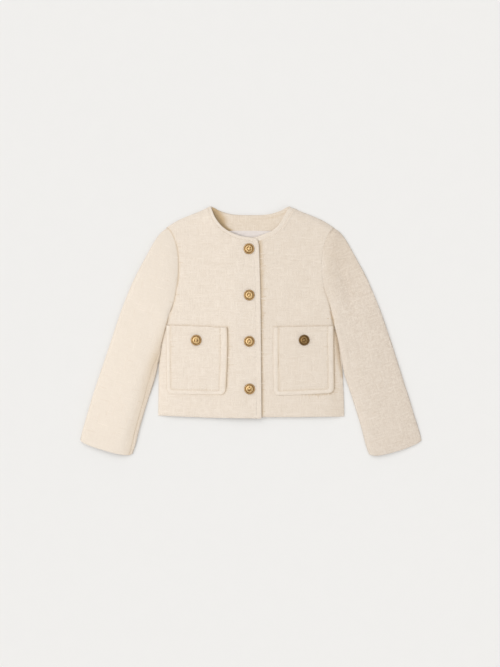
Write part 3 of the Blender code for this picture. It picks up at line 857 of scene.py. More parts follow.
def seam_place(side, drop):
    """Where the inner seam lies: millimetres from the inner fold, on top if positive, else underneath."""
    if side == RIGHT:
        return SEAM_ON_TOP * after(drop, *SEAM_SURFACES) + SEAM_BULGE * bell(drop - BULGE_DROP, BULGE_LENGTH)
    return SEAM_UNDER * after(drop, *SEAM_HIDES)


def ring_part(ring, places, start, end, shares):
    """Points of one ring between two places measured along it."""
    wanted = start + (end - start) * shares
    return np.stack([np.interp(wanted, places, ring[:, axis]) for axis in range(3)], axis=1), wanted


def left_sleeve_shade(side, points, share):
    """Painted shade on the left sleeve: least beside the inner seam, most down the outer fold, and a dark
    patch.
    """
    out, drop = side * points[..., 0], drop_of(points)
    painted_patch = PAINTED_PATCH * bell(out - 230.0 - 0.26 * (drop - 184.0), 14.0) * bell(drop - 200.0, 65.0)
    return blend(MEAN_SLEEVE_SHADE, eased(share, SHADE_ACROSS), after(drop, *SHADE_TURNS)) + painted_patch


def cut_rings(side, upper, lower, drops):
    """Each sleeve panel's rows of points, and how far each point lies from the inner seam."""
    steps = {"upper_sleeve": shares_for(150, STEP), "under_sleeve": shares_for(120, 3.6)}
    cut, marks = {layer: [] for layer in steps}, {layer: [] for layer in steps}
    for top, below, drop in zip(upper, lower, drops):
        over, under = lengths_along(top), lengths_along(below)
        ring = np.vstack([below, top, below])
        places = np.concatenate([under - under[-1] - HAIR, over + HAIR, over[-1] + 2 * HAIR + under])
        seam = float(seam_place(side, drop))
        below_fold = min(OUTER_SEAM_BELOW, 0.4 * under[-1])
        bounds = {
            "upper_sleeve": (seam if seam < 0 else max(seam, HAIR), over[-1] + below_fold),
            "under_sleeve": (below_fold - under[-1], seam if seam > 0 else min(seam, -HAIR)),
        }
        for layer, (start, end) in bounds.items():
            points, wanted = ring_part(ring, places, start, end, steps[layer])
            cut[layer].append(points)
            marks[layer].append(np.minimum(np.abs(wanted - seam), 60.0))
    return {layer: (np.array(cut[layer]), np.array(marks[layer])) for layer in steps}


def make_sleeve(side):
    upper, lower, drops, to_cuff, along = sleeve_rings(side)
    for layer, (points, from_seam) in cut_rings(side, upper, lower, drops).items():
        across = np.cumsum(np.linalg.norm(np.diff(points, axis=1, prepend=points[:, :1]), axis=2), axis=1)
        uv = np.stack([across, np.broadcast_to(to_cuff[:, None], across.shape)], axis=-1)
        pull = np.where(drops < SEWN_TO, seam_pull(side, drops), FOREARM_PULL)
        sewn_in = (after(to_cuff, 8.0, 20.0) * pull)[:, None]
        below_armhole = after(drops, *BELOW_ARMHOLE)[:, None]
        forearm = after(drops, *FOREARM)[:, None]
        groove = sewn_in * below_armhole * (1 - GROOVE_FADE[side] * forearm) * SEAM_DIP
        groove = groove * bell(from_seam, GROOVE_WIDTH)
        points[..., 2] -= groove * (points[..., 2] > GROOVED_ABOVE)
        nubs = texture_lumps(uv + 300 * side, 50) * NUBS[side]
        points[..., 2] += nubs * (points[..., 2] > NUBBED_ABOVE)
        # Painted shade in the inner seam, and on the right sleeve a wide band of it beside the rolled seam.
        painted_shade = pull[:, None] * (1 - SEAM_FADE[side] * forearm) * bell(from_seam, SEAM_SHADE_WIDTH)
        if side == RIGHT:
            painted_shade = np.maximum(painted_shade, eased(drops, ROLL_SHADE)[:, None] * bell(from_seam, ROLL_SHADE_WIDTH))
        else:
            # The top of the left sleeve gets painted shade, left off on the armhole's ridge as a painted
            # highlight.
            crest = bell(from_seam, CREST_WIDTH) * bell(drops[:, None] - CREST_DROP, CREST_LENGTH)
            painted_shade = np.maximum(painted_shade, 0.16 * (1 - after(drops, *TOP_SHADE_FADES))[:, None] * (1 - crest))
        grain = at_height(along, np.zeros(len(along)))[:, None]
        name = f"{layer}_{SIDE_NAMES[side]}"
        made = cloth(name, points, uv, painted_shade, grain, layer == "upper_sleeve", free=("last",))
        # Painted shade on the left sleeve, mostly left off on its ridge.
        sleeve_shade = np.zeros(across.shape)
        if side == LEFT:
            sleeve_shade = left_sleeve_shade(side, points, across / across[:, -1:]) * (1 - 0.9 * crest)
        keep(made.data, "crinkle_and_painted_shade", sleeve_shade)


for side in (RIGHT, LEFT):
    make_sleeve(side)

# %% [markdown]
# ## Narrow bands
# The neck edge, the front edge and the pockets have a strip of the same cloth, folded over and pressed. A
# curve with a bevel could make one, but its ends and its corners would be round pipes. A band here is a
# flattened ring carried along two drafted lines, so that it keeps its width at the corners and its ends can
# be closed softly.

# %% Bands from two lines
RING = np.linspace(0, 2 * np.pi, 20, endpoint=False)
END_ROLL, END_LEAST = 4.0, 0.12  # how far from a free end a band starts to thin out, and to what share
cuts = {}  # width and length of each band, as cut


def squared(wave, squareness):
    return np.sign(wave) * np.abs(wave) ** (2 / squareness)


def band(node, outer, inner, underside, height, seed, round_ends=(True, True), squareness=3.0):
    """A closed strip between two lines of as many points. underside is its height at each spot.

    A squareness of 2 makes its section an ellipse, and a larger one a flatter pressed strip.
    """
    middle, half = (outer + inner) / 2, (outer - inner) / 2
    along = lengths_along(middle)
    full = np.ones(len(middle))
    for rounded, distance in zip(round_ends, (along, along[-1] - along)):
        full *= np.maximum(roll(distance, END_ROLL), END_LEAST) if rounded else 1.0
    across, up = squared(np.cos(RING), squareness), squared(np.sin(RING), squareness)
    spots = middle[:, None] + half[:, None] * (across[None, :, None] * (0.55 + 0.45 * full)[:, None, None])
    thick = height * full[:, None]
    top = underside(spots) + thick * 0.5 * (1 + up[None, :])
    bulk = np.stack([np.broadcast_to(along[:, None], top.shape), spots[..., 0]], axis=-1)
    top = top + (up > 0) * (0.16 * uneven(bulk, 7.0, seed) + 0.14 * uneven(bulk, 23.0, seed + 1))
    points = at_height(spots, top)
    rings = (len(middle), len(RING))
    upward = upwardness(points, grid_faces(*rings, closed=True)) * np.tile(up, len(middle) - 1)
    faces = tube_faces(*rings, flipped=upward.sum() < 0)
    ring_length = lengths_along(points[len(points) // 2])
    uv = np.stack(np.broadcast_arrays(ring_length[None, :], along[:, None]), axis=-1)
    outward = (spots - middle[:, None])[..., 0] / np.linalg.norm(half, axis=1)[:, None]
    # Painted shade on the band's lower sides, most on its side away from the light.
    shaded_side = ease((0.85 - up) / 1.2) if squareness > 2 else ease((1.1 - up) / 0.9)
    painted_shade = (0.08 + 0.8 * ease(outward)) * shaded_side[None, :]
    grain = at_height(np.gradient(middle, axis=0), np.zeros(len(middle)))[:, None]
    pieces[node] = mesh_object(f"{node}_strip", points, faces, uv, painted_shade, grain)
    cuts[node] = (2 * np.linalg.norm(half, axis=1).mean() + 1.4 * height, along[-1])


# %% Neck and front bands
BAND_HEIGHT, BACK_BAND_HEIGHT = 3.3, 3.1
BAND_SINK = 0.9  # how far a band's underside lies below the front's


def under_band(side):
    return lambda spots: front_rest(side, spots) - CLOTH - BAND_SINK


for side in (RIGHT, LEFT):
    shares = shares_for(length_of(neck_line(side)), STEP)
    edge = smooth_line(neck_line(side), shares)
    inner, ends = beside(edge, side * NECK_BAND_WIDTH[side]), (False, True)
    band(f"neck_band_{SIDE_NAMES[side]}", edge, inner, under_band(side), BAND_HEIGHT, 60 + side, ends)
lap_points = plan(RIGHT, LAP_EDGE)
lap_line = smooth_line(lap_points, shares_for(length_of(lap_points), STEP))
band("front_band", lap_line, lap_line - [FRONT_BAND_WIDTH, 0], under_band(RIGHT), BAND_HEIGHT, 64)
edge = back_neck()
inner, ends = beside(edge, BACK_BAND_WIDTH), (False, False)
band("neck_band_back", edge, inner, lambda spots: 0.0, BACK_BAND_HEIGHT, 66, ends)
print("bands:", {node: [round(float(side)) for side in cut] for node, cut in cuts.items()})

# %% [markdown]
# ## Patch pockets
# Each pocket is a panel with a band round three sides. The band is folded over like piping, and a groove
# shows where it is sewn to the panel. The mouth stands slightly away from the front, and the foot is
# pressed flatter.

# %% Make the pockets
POCKET_BAND_HEIGHT, POCKET_BAND_SINK = 3.0, 0.6
POCKET_RISE, POCKET_CLOTH = 2.0, 2.6  # how far a pocket's face stands above the front, and its thickness
POCKET_TUCK = 1.6  # how far the panel reaches under its band
FOOT_SINK = {RIGHT: 0.9, LEFT: 0.3}
FOOT_STARTS = (430.0, 14.0)  # a drop, and the stretch over which the foot sinks
MOUTH_LIFT, MOUTH_REACH, MOUTH_ROLL = 1.3, 15.0, 0.35
PANEL_DIP = 0.4  # the groove beside the band


def mouth_lift(spots):
    return MOUTH_LIFT * bell(drop_of(spots) - POCKET_TOP, MOUTH_REACH)


def foot_sink(side, spots):
    return FOOT_SINK[side] * after(drop_of(spots), *FOOT_STARTS)


def make_pocket(side):
    name = SIDE_NAMES[side]
    near, far = POCKET_NEAR + POCKET_BANDS[side][0], POCKET_FAR - POCKET_BANDS[side][1]
    foot = POCKET_FOOT - POCKET_BAND_FOOT
    outer = pocket_rim(side, POCKET_NEAR, POCKET_FAR, POCKET_FOOT, POCKET_RADIUS)
    inner = pocket_rim(side, near, far, foot, PANEL_RADIUS)

    def rest(spots):
        return front_rest(side, spots) - POCKET_BAND_SINK + mouth_lift(spots) - foot_sink(side, spots)

    ends = (False, False)
    band(f"pocket_band_{name}", outer, inner, rest, POCKET_BAND_HEIGHT, 70 + side, ends, squareness=2.0)
    tucked = pocket_rim(side, near - POCKET_TUCK, far + POCKET_TUCK, foot + POCKET_TUCK, PANEL_RADIUS)
    first, last = tucked[:RIM_ROWS][::-1], tucked[-RIM_ROWS:]
    shares = np.linspace(0, 1, 47)
    lower = smooth_line(tucked[RIM_ROWS - 1 : len(tucked) - RIM_ROWS + 1], shares)
    mouth = np.linspace(first[-1], last[-1], len(shares))
    spots = patch(lower, mouth, first, last, shares, np.linspace(0, 1, RIM_ROWS))
    edge, at_mouth = distance_to(inner, spots), distance_to(mouth, spots)
    height = front_rest(side, spots) + POCKET_RISE + mouth_lift(spots) - PANEL_DIP * bell(edge, SEAM_WIDTH)
    height += MOUTH_ROLL * bell(at_mouth - 7, 8) + 0.3 * uneven(spots, 34, 80 + side)
    height -= 0.8 * foot_sink(side, spots)
    height += texture_lumps(spots, 84 + side)
    # Painted shade in the groove beside the band, and a little all over the left pocket, as the light falls
    # off to that side.
    painted_shade = 0.3 * bell(edge, 2.4) + (0.05 if side == LEFT else 0.0)
    flat_panel(f"pocket_{name}", spots, height, painted_shade, thickness=POCKET_CLOTH)


for side in (RIGHT, LEFT):
    make_pocket(side)
print("pockets:", [round(float(side)) for side in cuts["pocket_band_right"]], "mm of band")

# %% [markdown]
# ## Inside the neck
# The back's facing and lining show in the neck opening. The facing is the same boucle in a darker painted
# shade, with a painted shadow beside the fronts' neck edges. The lining is a thin satin that lies in a few
# soft slanting folds.

# %% Make the facing and the lining
FACING_TOP_END = (92.0, 0.8)
FACING_FOOT, FACING_FOOT_HALF = 58.5, 92.0
LINING_FOOT, LINING_FOOT_HALF = 100.0, 96.0
FACING_CLOTH, LINING_CLOTH = 1.4, 0.5
FACING_HEIGHT, LINING_HEIGHT = 3.5, 3.6
FACING_STITCHED = 9.0  # how far below its top edge the facing is stitched down


def make_facing():
    top_points = mirrored(plan(LEFT, [FACING_TOP_END, *BACK_NECK[1:]]))
    across = shares_for(length_of(top_points), STEP)
    top = smooth_line(top_points, across) - [0, 0.6]
    foot = np.stack([FACING_FOOT_HALF * (1 - 2 * across), np.full(len(across), NECK_Y - FACING_FOOT)], axis=1)
    up = shares_for(length_of(np.array([foot[0], top[0]])), STEP)
    spots = foot[None] + up[:, None, None] * (top - foot)[None]
    x, from_top = spots[..., 0], distance_to(top, spots)
    seam = bell(from_top - FACING_STITCHED, NECK_SEAM_WIDTH) * after(x, -10, 80)
    height = FACING_HEIGHT + 1.9 * roll(from_top, 7.0) * (1 - 0.85 * after(from_top, 16, 20))
    height += 2.0 * after(x, 25, 55) - 0.5 * seam
    height += 0.3 * uneven(spots, 26, 90) + 0.2 * uneven(spots, 11, 91) + texture_lumps(spots, 92)
    neck = drawn(plan(RIGHT, FRONT_NECK[RIGHT][:5]), 40)
    narrower = 1 - 0.65 * after(drop_of(spots), 26.0, 26.0)
    # A painted shadow lies on the facing beside the raised right neck edge, narrower lower down, with painted
    # shade in its stitched seam and faintly all over.
    painted_shadow = 1 - after(distance_to(neck, spots) / narrower, 10.0, 17.0)
    painted_shade = 0.02 + 0.30 * seam + 0.98 * painted_shadow
    flat_panel("back_neck_facing", spots, height, painted_shade, thickness=FACING_CLOTH)


def make_lining():
    across, up = np.linspace(0, 1, 110), np.linspace(0, 1, 52)
    top_half, top_drop = FACING_FOOT_HALF, FACING_FOOT - 3.0
    half = LINING_FOOT_HALF + up * (top_half - LINING_FOOT_HALF)
    drop = LINING_FOOT + up * (top_drop - LINING_FOOT)
    x = half[:, None] * (1 - 2 * across[None])
    y = np.broadcast_to(NECK_Y - drop[:, None], x.shape)
    spots = np.stack([x, y], axis=-1)
    slant = (y - 0.22 * x) / 1.7 + 2.6 * uneven(spots, 19, 94)
    folds = (0.5 + 0.5 * np.sin(slant)) * (0.55 + 0.45 * uneven(spots, 13, 95))
    height = LINING_HEIGHT + 1.0 * folds * after(drop[:, None], top_drop, 8.0)
    flat_panel("lining", spots, height, 0.0, thickness=LINING_CLOTH)


make_facing()
make_lining()

# %% [markdown]
# ## Buttons
# The buttons are cast metal with a shank: a low dome inside a raised rim that is beaded like rope. On the
# dome a plain ring goes round a small rosette. A Screw modifier would turn the profile, but not the beads
# and petals, so the profile is carried round in steps and raised and lowered on the way. Each point keeps
# how worn it is, for the patina, and each button is turned and tilted a little differently on its shank.

# %% Make the buttons
BUTTON_TURNS = 72
BEADS = 36
PETALS = 6
BUTTON_PROFILE = (  # radius, height above the rim's foot, wear, and share of the beading
    (0.0, 6.00, 1.05, 0.0),
    (0.9, 5.94, 1.00, 0.0),
    (1.8, 5.72, 0.88, 0.0),
    (2.7, 5.34, 0.58, 0.0),
    (3.6, 5.04, 0.36, 0.0),
    (4.5, 4.98, 0.34, 0.0),
    (5.4, 5.14, 0.60, 0.0),
    (6.3, 5.24, 0.84, 0.0),
    (7.2, 5.08, 0.90, 0.0),
    (8.1, 4.66, 0.70, 0.0),
    (8.9, 4.20, 0.45, 0.0),
    (9.8, 3.45, 0.15, 0.0),
    (10.4, 3.35, 0.15, 0.1),
    (11.0, 3.60, 0.50, 0.6),
    (11.7, 3.70, 0.66, 1.0),
    (12.4, 3.30, 0.54, 0.8),
    (12.9, 2.50, 0.38, 0.2),
    (13.1, 1.70, 0.30, 0.0),
    (12.8, 0.90, 0.20, 0.0),
    (11.6, 0.20, 0.00, 0.0),
    (7.0, 0.00, 0.00, 0.0),
    (3.2, 0.00, 0.00, 0.0),
    (3.0, -0.30, 0.00, 0.0),
    (0.0, -0.30, 0.00, 0.0),
)
BUTTON_FOOT = -0.3
BEAD_HEIGHT, CAST_HEIGHT, PETAL_HEIGHT = 0.30, 0.42, 0.25
BUTTON_TILT = 0.05
FRONT_BUTTONS = [f"front_button_{number}" for number in (1, 2, 3, 4)]
BUTTONS = [*FRONT_BUTTONS, "pocket_button_right", "pocket_button_left"]


def make_button(node, seed):
    low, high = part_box(node)
    centre, foot = (low + high) / 2, low.z / MM - BUTTON_FOOT
    radius, height, wear, beading = np.array(BUTTON_PROFILE).T
    turn = np.linspace(0, 2 * np.pi, BUTTON_TURNS, endpoint=False) + seed
    beads = BEAD_HEIGHT * np.sin(BEADS * (turn[None, :] + 0.02 * height[:, None])) * beading[:, None]
    flat = radius[:, None, None] * np.stack([np.cos(turn), np.sin(turn)], axis=-1)
    cast = uneven(flat + 31.0 * seed, 2.8, 140) + 0.5 * uneven(flat - 17.0 * seed, 1.5, 141)
    cast *= ((radius > 0) & (radius < 8.5))[:, None] * ease((9.0 - radius) / 2.5)[:, None]
    petals = np.cos(PETALS * turn)[None, :] * bell(radius - 4.0, 1.5)[:, None]
    tilt = np.random.default_rng(40 + seed).uniform(-BUTTON_TILT, BUTTON_TILT, 2)
    x = radius[:, None] * np.cos(turn) + centre.x / MM
    y = radius[:, None] * np.sin(turn) + centre.y / MM
    lean = tilt[0] * (x - centre.x / MM) + tilt[1] * (y - centre.y / MM)
    z = foot + height[:, None] + beads + CAST_HEIGHT * cast + PETAL_HEIGHT * petals + lean
    points = np.stack([x, y, z], axis=-1)[1:-1]
    faces = tube_faces(len(points), BUTTON_TURNS, flipped=True)
    worn = wear[:, None] + 0.25 * beads / BEAD_HEIGHT * beading[:, None] + 0.36 * cast + 0.30 * petals
    pieces[node] = mesh_object(f"{node}_cast", points, faces, points[..., :2], worn[1:-1], [0, 0, 1])


for number, node in enumerate(BUTTONS):
    make_button(node, number)
print(len(BUTTONS), "buttons of", len(pieces[BUTTONS[0]].data.polygons), "faces")

# %% [markdown]
# ## Slubs
# Boucle is woven with thick soft yarns that thin out and end, so short thick slubs lie along both
# directions of the weave. Bump alone can't stand out at a fold. Geometry Nodes scatters thin spindles over
# each outer layer, lays them along the grain or across it, and then wraps them down on to the cloth.

# %% Helpers for node trees


def feed(tree, node, values):
    """Fill in a node's inputs: what comes from another node is linked, and a plain value is set."""
    for name, value in values.items():
        if isinstance(value, bpy.types.NodeSocket):
            tree.links.new(value, node.inputs[name])
        else:
            node.inputs[name].default_value = value


def add(tree, kind, inputs=None, **settings):
    node = tree.nodes.new(kind)
    for name, value in settings.items():
        setattr(node, name, value)
    feed(tree, node, inputs or {})
    return node


def maths(tree, operation, *values, clamp=False):
    inputs = dict(enumerate(values))
    return add(tree, "ShaderNodeMath", inputs, operation=operation, use_clamp=clamp).outputs[0]


def vector_maths(tree, operation, *values):
    return add(tree, "ShaderNodeVectorMath", dict(enumerate(values)), operation=operation).outputs[0]


def socket(tree, name, kind, direction="INPUT", value=None):
    made = tree.interface.new_socket(name, in_out=direction, socket_type=kind)
    if value is not None:
        made.default_value = value
    return made.identifier


# %% The spindle and its Geometry Nodes tree
SLUB_LENGTH, SLUB_WIDTH, SLUB_HEIGHT = 22.0, 2.3, 0.22


def spindle():
    """A low closed spindle along x, drafted flat: its heights wrap on to the cloth later."""
    along = np.array([-0.5, -0.33, -0.12, 0.12, 0.33, 0.5])
    full = np.array([0.08, 0.70, 1.0, 0.9, 0.75, 0.08])
    around = np.radians([0, 60, 120, 180, 270])
    x = np.broadcast_to(SLUB_LENGTH * along[:, None], (6, 5))
    y = 0.5 * SLUB_WIDTH * full[:, None] * np.cos(around) + 0.25 * np.sin(9 * along)[:, None]
    z = SLUB_HEIGHT * full[:, None] * np.maximum(np.sin(around), -0.4)
    mesh = bpy.data.meshes.new("slub spindle")
    corners = (np.stack([x, y, z], axis=-1).reshape(-1, 3) * MM).tolist()
    mesh.from_pydata(corners, [], tube_faces(6, 5, flipped=True))
    mesh.shade_smooth()
    mesh.set_sharp_from_angle(angle=math.radians(60))
    return bpy.data.objects.new("slub spindle", mesh)


def stored(tree, geometry, name, value):
    inputs = {"Geometry": geometry, "Name": name, "Value": value}
    return add(tree, "GeometryNodeStoreNamedAttribute", inputs, data_type="FLOAT", domain="POINT").outputs[0]


def named(tree, name, kind):
    return add(tree, "GeometryNodeInputNamedAttribute", {"Name": name}, data_type=kind).outputs[0]


def aligned(tree, inputs, **axes):
    return add(tree, "FunctionNodeAlignRotationToVector", inputs, **axes).outputs[0]


def chance(tree, kind, inputs):
    return add(tree, "FunctionNodeRandomValue", inputs, data_type=kind)


def slub_tree():
    tree = bpy.data.node_groups.new("Slubs along the grain", "GeometryNodeTree")
    kinds = {"Geometry": "Geometry", "Layer": "Object", "Slub": "Object", "Spacing": "Float"}
    kinds |= {"Share": "Float", "Seed": "Int", "Material": "Material"}
    names = {name: socket(tree, name, f"NodeSocket{kind}") for name, kind in kinds.items()}
    socket(tree, "Geometry", "NodeSocketGeometry", "OUTPUT")
    given = tree.nodes.new("NodeGroupInput").outputs
    layer = add(tree, "GeometryNodeObjectInfo", {"Object": given["Layer"]}).outputs["Geometry"]
    slub = add(tree, "GeometryNodeObjectInfo", {"Object": given["Slub"]}).outputs["Geometry"]
    place = tree.nodes.new("GeometryNodeInputPosition").outputs[0]
    lift = add(tree, "ShaderNodeSeparateXYZ", {"Vector": place}).outputs["Z"]
    marked = stored(tree, slub, "lift", lift)
    spread = {"Mesh": layer, "Density Max": 60000.0, "Density Factor": given["Share"]}
    spread |= {"Distance Min": given["Spacing"], "Seed": given["Seed"]}
    scattered = add(tree, "GeometryNodeDistributePointsOnFaces", spread, distribute_method="POISSON")
    grain = named(tree, "grain", "FLOAT_VECTOR")
    upright = aligned(tree, {"Vector": scattered.outputs["Normal"]}, axis="Z")
    along = aligned(tree, {"Rotation": upright, "Vector": grain}, axis="X", pivot_axis="Z")
    weft = chance(tree, "BOOLEAN", {"Probability": 0.58, "Seed": 3}).outputs[3]
    sway = chance(tree, "FLOAT", {2: -0.07, 3: 0.07, "Seed": 4}).outputs[1]
    quarter = maths(tree, "MULTIPLY_ADD", weft, math.pi / 2, sway)
    turn = add(tree, "ShaderNodeCombineXYZ", {"Z": quarter}).outputs[0]
    turning = {"Rotation": along, "Rotate By": turn}
    turned = add(tree, "FunctionNodeRotateRotation", turning, rotation_space="LOCAL").outputs[0]
    sizes = {"Min": (0.35, 0.75, 1.0), "Max": (1.45, 1.2, 1.0), "Seed": 5}
    size = chance(tree, "FLOAT_VECTOR", sizes).outputs[0]
    shade = chance(tree, "FLOAT", {2: -1.0, 3: 1.0, "Seed": 6}).outputs[1]
    shaded = stored(tree, scattered.outputs["Points"], "shade", shade)
    laying = {"Points": shaded, "Instance": marked, "Rotation": turned, "Scale": size}
    laid = add(tree, "GeometryNodeInstanceOnPoints", laying).outputs[0]
    real = add(tree, "GeometryNodeRealizeInstances", {"Geometry": laid}).outputs[0]
    nearest = add(tree, "GeometryNodeProximity", {0: layer}, target_element="FACES").outputs["Position"]
    normal = tree.nodes.new("GeometryNodeInputNormal").outputs[0]
    surface = {"Mesh": layer, "Value": normal}
    facing = add(tree, "GeometryNodeSampleNearestSurface", surface, data_type="FLOAT_VECTOR").outputs[0]
    kept = named(tree, "lift", "FLOAT")
    raised = add(tree, "ShaderNodeVectorMath", {0: facing, "Scale": kept}, operation="SCALE").outputs[0]
    wrapped = vector_maths(tree, "ADD", nearest, raised)
    moved = add(tree, "GeometryNodeSetPosition", {"Geometry": real, "Position": wrapped}).outputs[0]
    dyed = {"Geometry": moved, "Material": given["Material"]}
    coloured = add(tree, "GeometryNodeSetMaterial", dyed).outputs[0]
    add(tree, "NodeGroupOutput", {"Geometry": coloured})
    return tree, names


slub_shape = spindle()
slub_nodes, slub_inputs = slub_tree()
print("slub tree:", len(slub_nodes.nodes), "nodes")

# %% [markdown]
# ## Materials
# Boucle shows three things at this distance: curly nubs, straight slubs along both grains and a soft
# mottling. One shader node group makes them from the UV map, so each cloth material can use the same weave
# at its own scale. It also gives a crinkle mask: the crinkles are a shade darker on all cloth, and the left
# sleeve's painted shade darkens it further, most of all in its crinkles.

# %% The weave's node group


def smooth_step(tree, value, low, high):
    inputs = {"Value": value, "From Min": low, "From Max": high}
    return add(tree, "ShaderNodeMapRange", inputs, interpolation_type="SMOOTHSTEP").outputs["Result"]


def stretched_noise(tree, vector, size, detail, offset):
    """Noise whose lumps have that size in metres in each direction."""
    moved = vector_maths(tree, "MULTIPLY_ADD", vector, [1 / side for side in size], offset)
    inputs = {"Vector": moved, "Scale": 1.0, "Detail": detail, "Roughness": 0.5}
    return add(tree, "ShaderNodeTexNoise", inputs, noise_dimensions="2D").outputs["Fac"]


def weave_group():
    tree = bpy.data.node_groups.new("Boucle weave", "ShaderNodeTree")
    socket(tree, "Vector", "NodeSocketVector")
    socket(tree, "Pitch", "NodeSocketFloat", value=0.0022)
    for name in ("Height", "Tone", "Crinkle"):
        socket(tree, name, "NodeSocketFloat", "OUTPUT")
    given = tree.nodes.new("NodeGroupInput").outputs
    vector, pitch = given["Vector"], given["Pitch"]
    sway = add(tree, "ShaderNodeTexNoise", {"Vector": vector, "Scale": 90.0, "Detail": 1.0}).outputs["Color"]
    swayed = vector_maths(tree, "MULTIPLY_ADD", sway, (0.0045, 0.0045, 0.0), vector)
    pitches = add(tree, "ShaderNodeCombineXYZ", {"X": pitch, "Y": pitch, "Z": 1.0}).outputs[0]
    turns = vector_maths(tree, "DIVIDE", swayed, pitches)
    curls = {"Vector": turns, "Scale": 1.0, "Randomness": 0.9, "Smoothness": 0.35}
    nub = add(tree, "ShaderNodeTexVoronoi", curls, feature="SMOOTH_F1", voronoi_dimensions="2D")
    nub = smooth_step(tree, nub.outputs["Distance"], 0.75, 0.05)
    curl = add(tree, "ShaderNodeTexNoise", {"Vector": turns, "Scale": 3.1, "Detail": 2.0}).outputs["Fac"]
    warp = stretched_noise(tree, swayed, (0.0019, 0.026, 1.0), 1.0, (7.3, 1.9, 0.0))
    weft = stretched_noise(tree, swayed, (0.030, 0.0019, 1.0), 1.0, (2.1, 5.7, 0.0))
    warp, weft = smooth_step(tree, warp, 0.42, 0.74), smooth_step(tree, weft, 0.42, 0.74)
    yarns = maths(tree, "MAXIMUM", warp, weft)
    mottle = stretched_noise(tree, vector, (0.016, 0.016, 1.0), 3.0, (4.4, 8.8, 0.0))
    height = maths(tree, "MULTIPLY_ADD", nub, 0.45, maths(tree, "MULTIPLY", curl, 0.22))
    height = maths(tree, "MULTIPLY_ADD", yarns, 0.45, height)
    tone = maths(tree, "MULTIPLY_ADD", nub, 0.30, maths(tree, "MULTIPLY", mottle, 0.34))
    tone = maths(tree, "MULTIPLY_ADD", yarns, 0.36, tone)
    crinkle = stretched_noise(tree, swayed, (0.0056, 0.0050, 1.0), 3.0, (9.1, 3.3, 0.0))
    crinkle = smooth_step(tree, crinkle, 0.34, 0.66)
    add(tree, "NodeGroupOutput", {"Height": height, "Tone": tone, "Crinkle": crinkle})
    return tree


weave = weave_group()
print("weave group:", len(weave.nodes), "nodes")

# %% Cloth and metal materials
WEAVES = {  # pitch in metres, colours between the yarns and on them, bump in mm, and share of the tan painted shade
    "cream boucle": (0.0023, (0.592, 0.517, 0.436, 1), (0.646, 0.576, 0.499, 1), 0.40, 0.75),
    "pressed boucle band": (0.0021, (0.608, 0.534, 0.452, 1), (0.652, 0.582, 0.504, 1), 0.30, 0.75),
    "smooth boucle": (0.0023, (0.600, 0.533, 0.456, 1), (0.624, 0.558, 0.483, 1), 0.16, 0.75),
    # the facing's colours are darker: painted shade, as it lies inside the neck
    "boucle facing": (0.0022, (0.575, 0.488, 0.392, 1), (0.640, 0.560, 0.470, 1), 0.40, 0.92),
}
# The tan of painted shade, mixed into cloth wherever it lies in shade
PAINTED_SHADE_TAN = (0.43, 0.305, 0.165, 1.0)
CRINKLE_AND_SHADE_TINT = (0.894, 0.867, 0.848, 1.0)  # the darker tint of the crinkles, and of the painted shade on the left sleeve
# the crinkles' tint on all cloth, where there is less painted shade than this
LEAST_CRINKLE_TINT = 0.1375
FACE_DEPTH, FULL_DEPTH = 0.16, 0.84  # share of that tint everywhere, and in the crinkles only


def new_material(name):
    material = bpy.data.materials.new(name)
    material.use_nodes = True
    return material, material.node_tree, material.node_tree.nodes["Principled BSDF"]


def mixed(tree, share, first, second, mode="MIX"):
    inputs = {0: share, 6: first, 7: second}
    return add(tree, "ShaderNodeMix", inputs, data_type="RGBA", blend_type=mode).outputs[2]


def attribute(tree, name):
    return add(tree, "ShaderNodeAttribute", attribute_name=name).outputs["Fac"]


def uv_map(tree):
    return add(tree, "ShaderNodeUVMap", uv_map="UVMap").outputs[0]


def bumped(tree, height, distance):
    """A normal from a bump of that many millimetres."""
    return add(tree, "ShaderNodeBump", {"Height": height, "Distance": distance * MM}).outputs[0]


def boucle_material(name, pitch, gap, yarn, bump_height, painted_shade_share):
    material, tree, shader = new_material(name)
    group = add(tree, "ShaderNodeGroup", {"Vector": uv_map(tree), "Pitch": pitch}, node_tree=weave)
    tone = maths(tree, "MULTIPLY_ADD", attribute(tree, "shade"), 0.10, group.outputs["Tone"])
    colour = mixed(tree, smooth_step(tree, tone, 0.10, 0.80), gap, yarn)
    # Painted shade: where the seam attribute asks for it, the colour is mixed with tan
    in_painted_shade = maths(tree, "MULTIPLY", attribute(tree, "seam"), painted_shade_share, clamp=True)
    colour = mixed(tree, in_painted_shade, colour, PAINTED_SHADE_TAN)
    # The crinkles, and on the left sleeve painted shade, mix the colour towards a darker tint.
    darker_tint = mixed(tree, 1.0, colour, CRINKLE_AND_SHADE_TINT, "MULTIPLY")
    crinkle_and_painted_shade = maths(tree, "MAXIMUM", attribute(tree, "crinkle_and_painted_shade"), LEAST_CRINKLE_TINT)
    crinkled = maths(tree, "MULTIPLY_ADD", group.outputs["Crinkle"], FULL_DEPTH, FACE_DEPTH)
    colour = mixed(tree, maths(tree, "MULTIPLY", crinkle_and_painted_shade, crinkled, clamp=True), colour, darker_tint)
    normal = bumped(tree, group.outputs["Height"], bump_height)
    feed(tree, shader, {"Base Color": colour, "Normal": normal, "Roughness": 0.95, "Specular IOR Level": 0.2})
    fuzz = {"Sheen Weight": 0.18, "Sheen Roughness": 0.6, "Sheen Tint": (1.0, 0.95, 0.88, 1.0)}
    feed(tree, shader, fuzz)
    return material


boucle, pressed, smooth, shaded = (boucle_material(name, *looks) for name, looks in WEAVES.items())


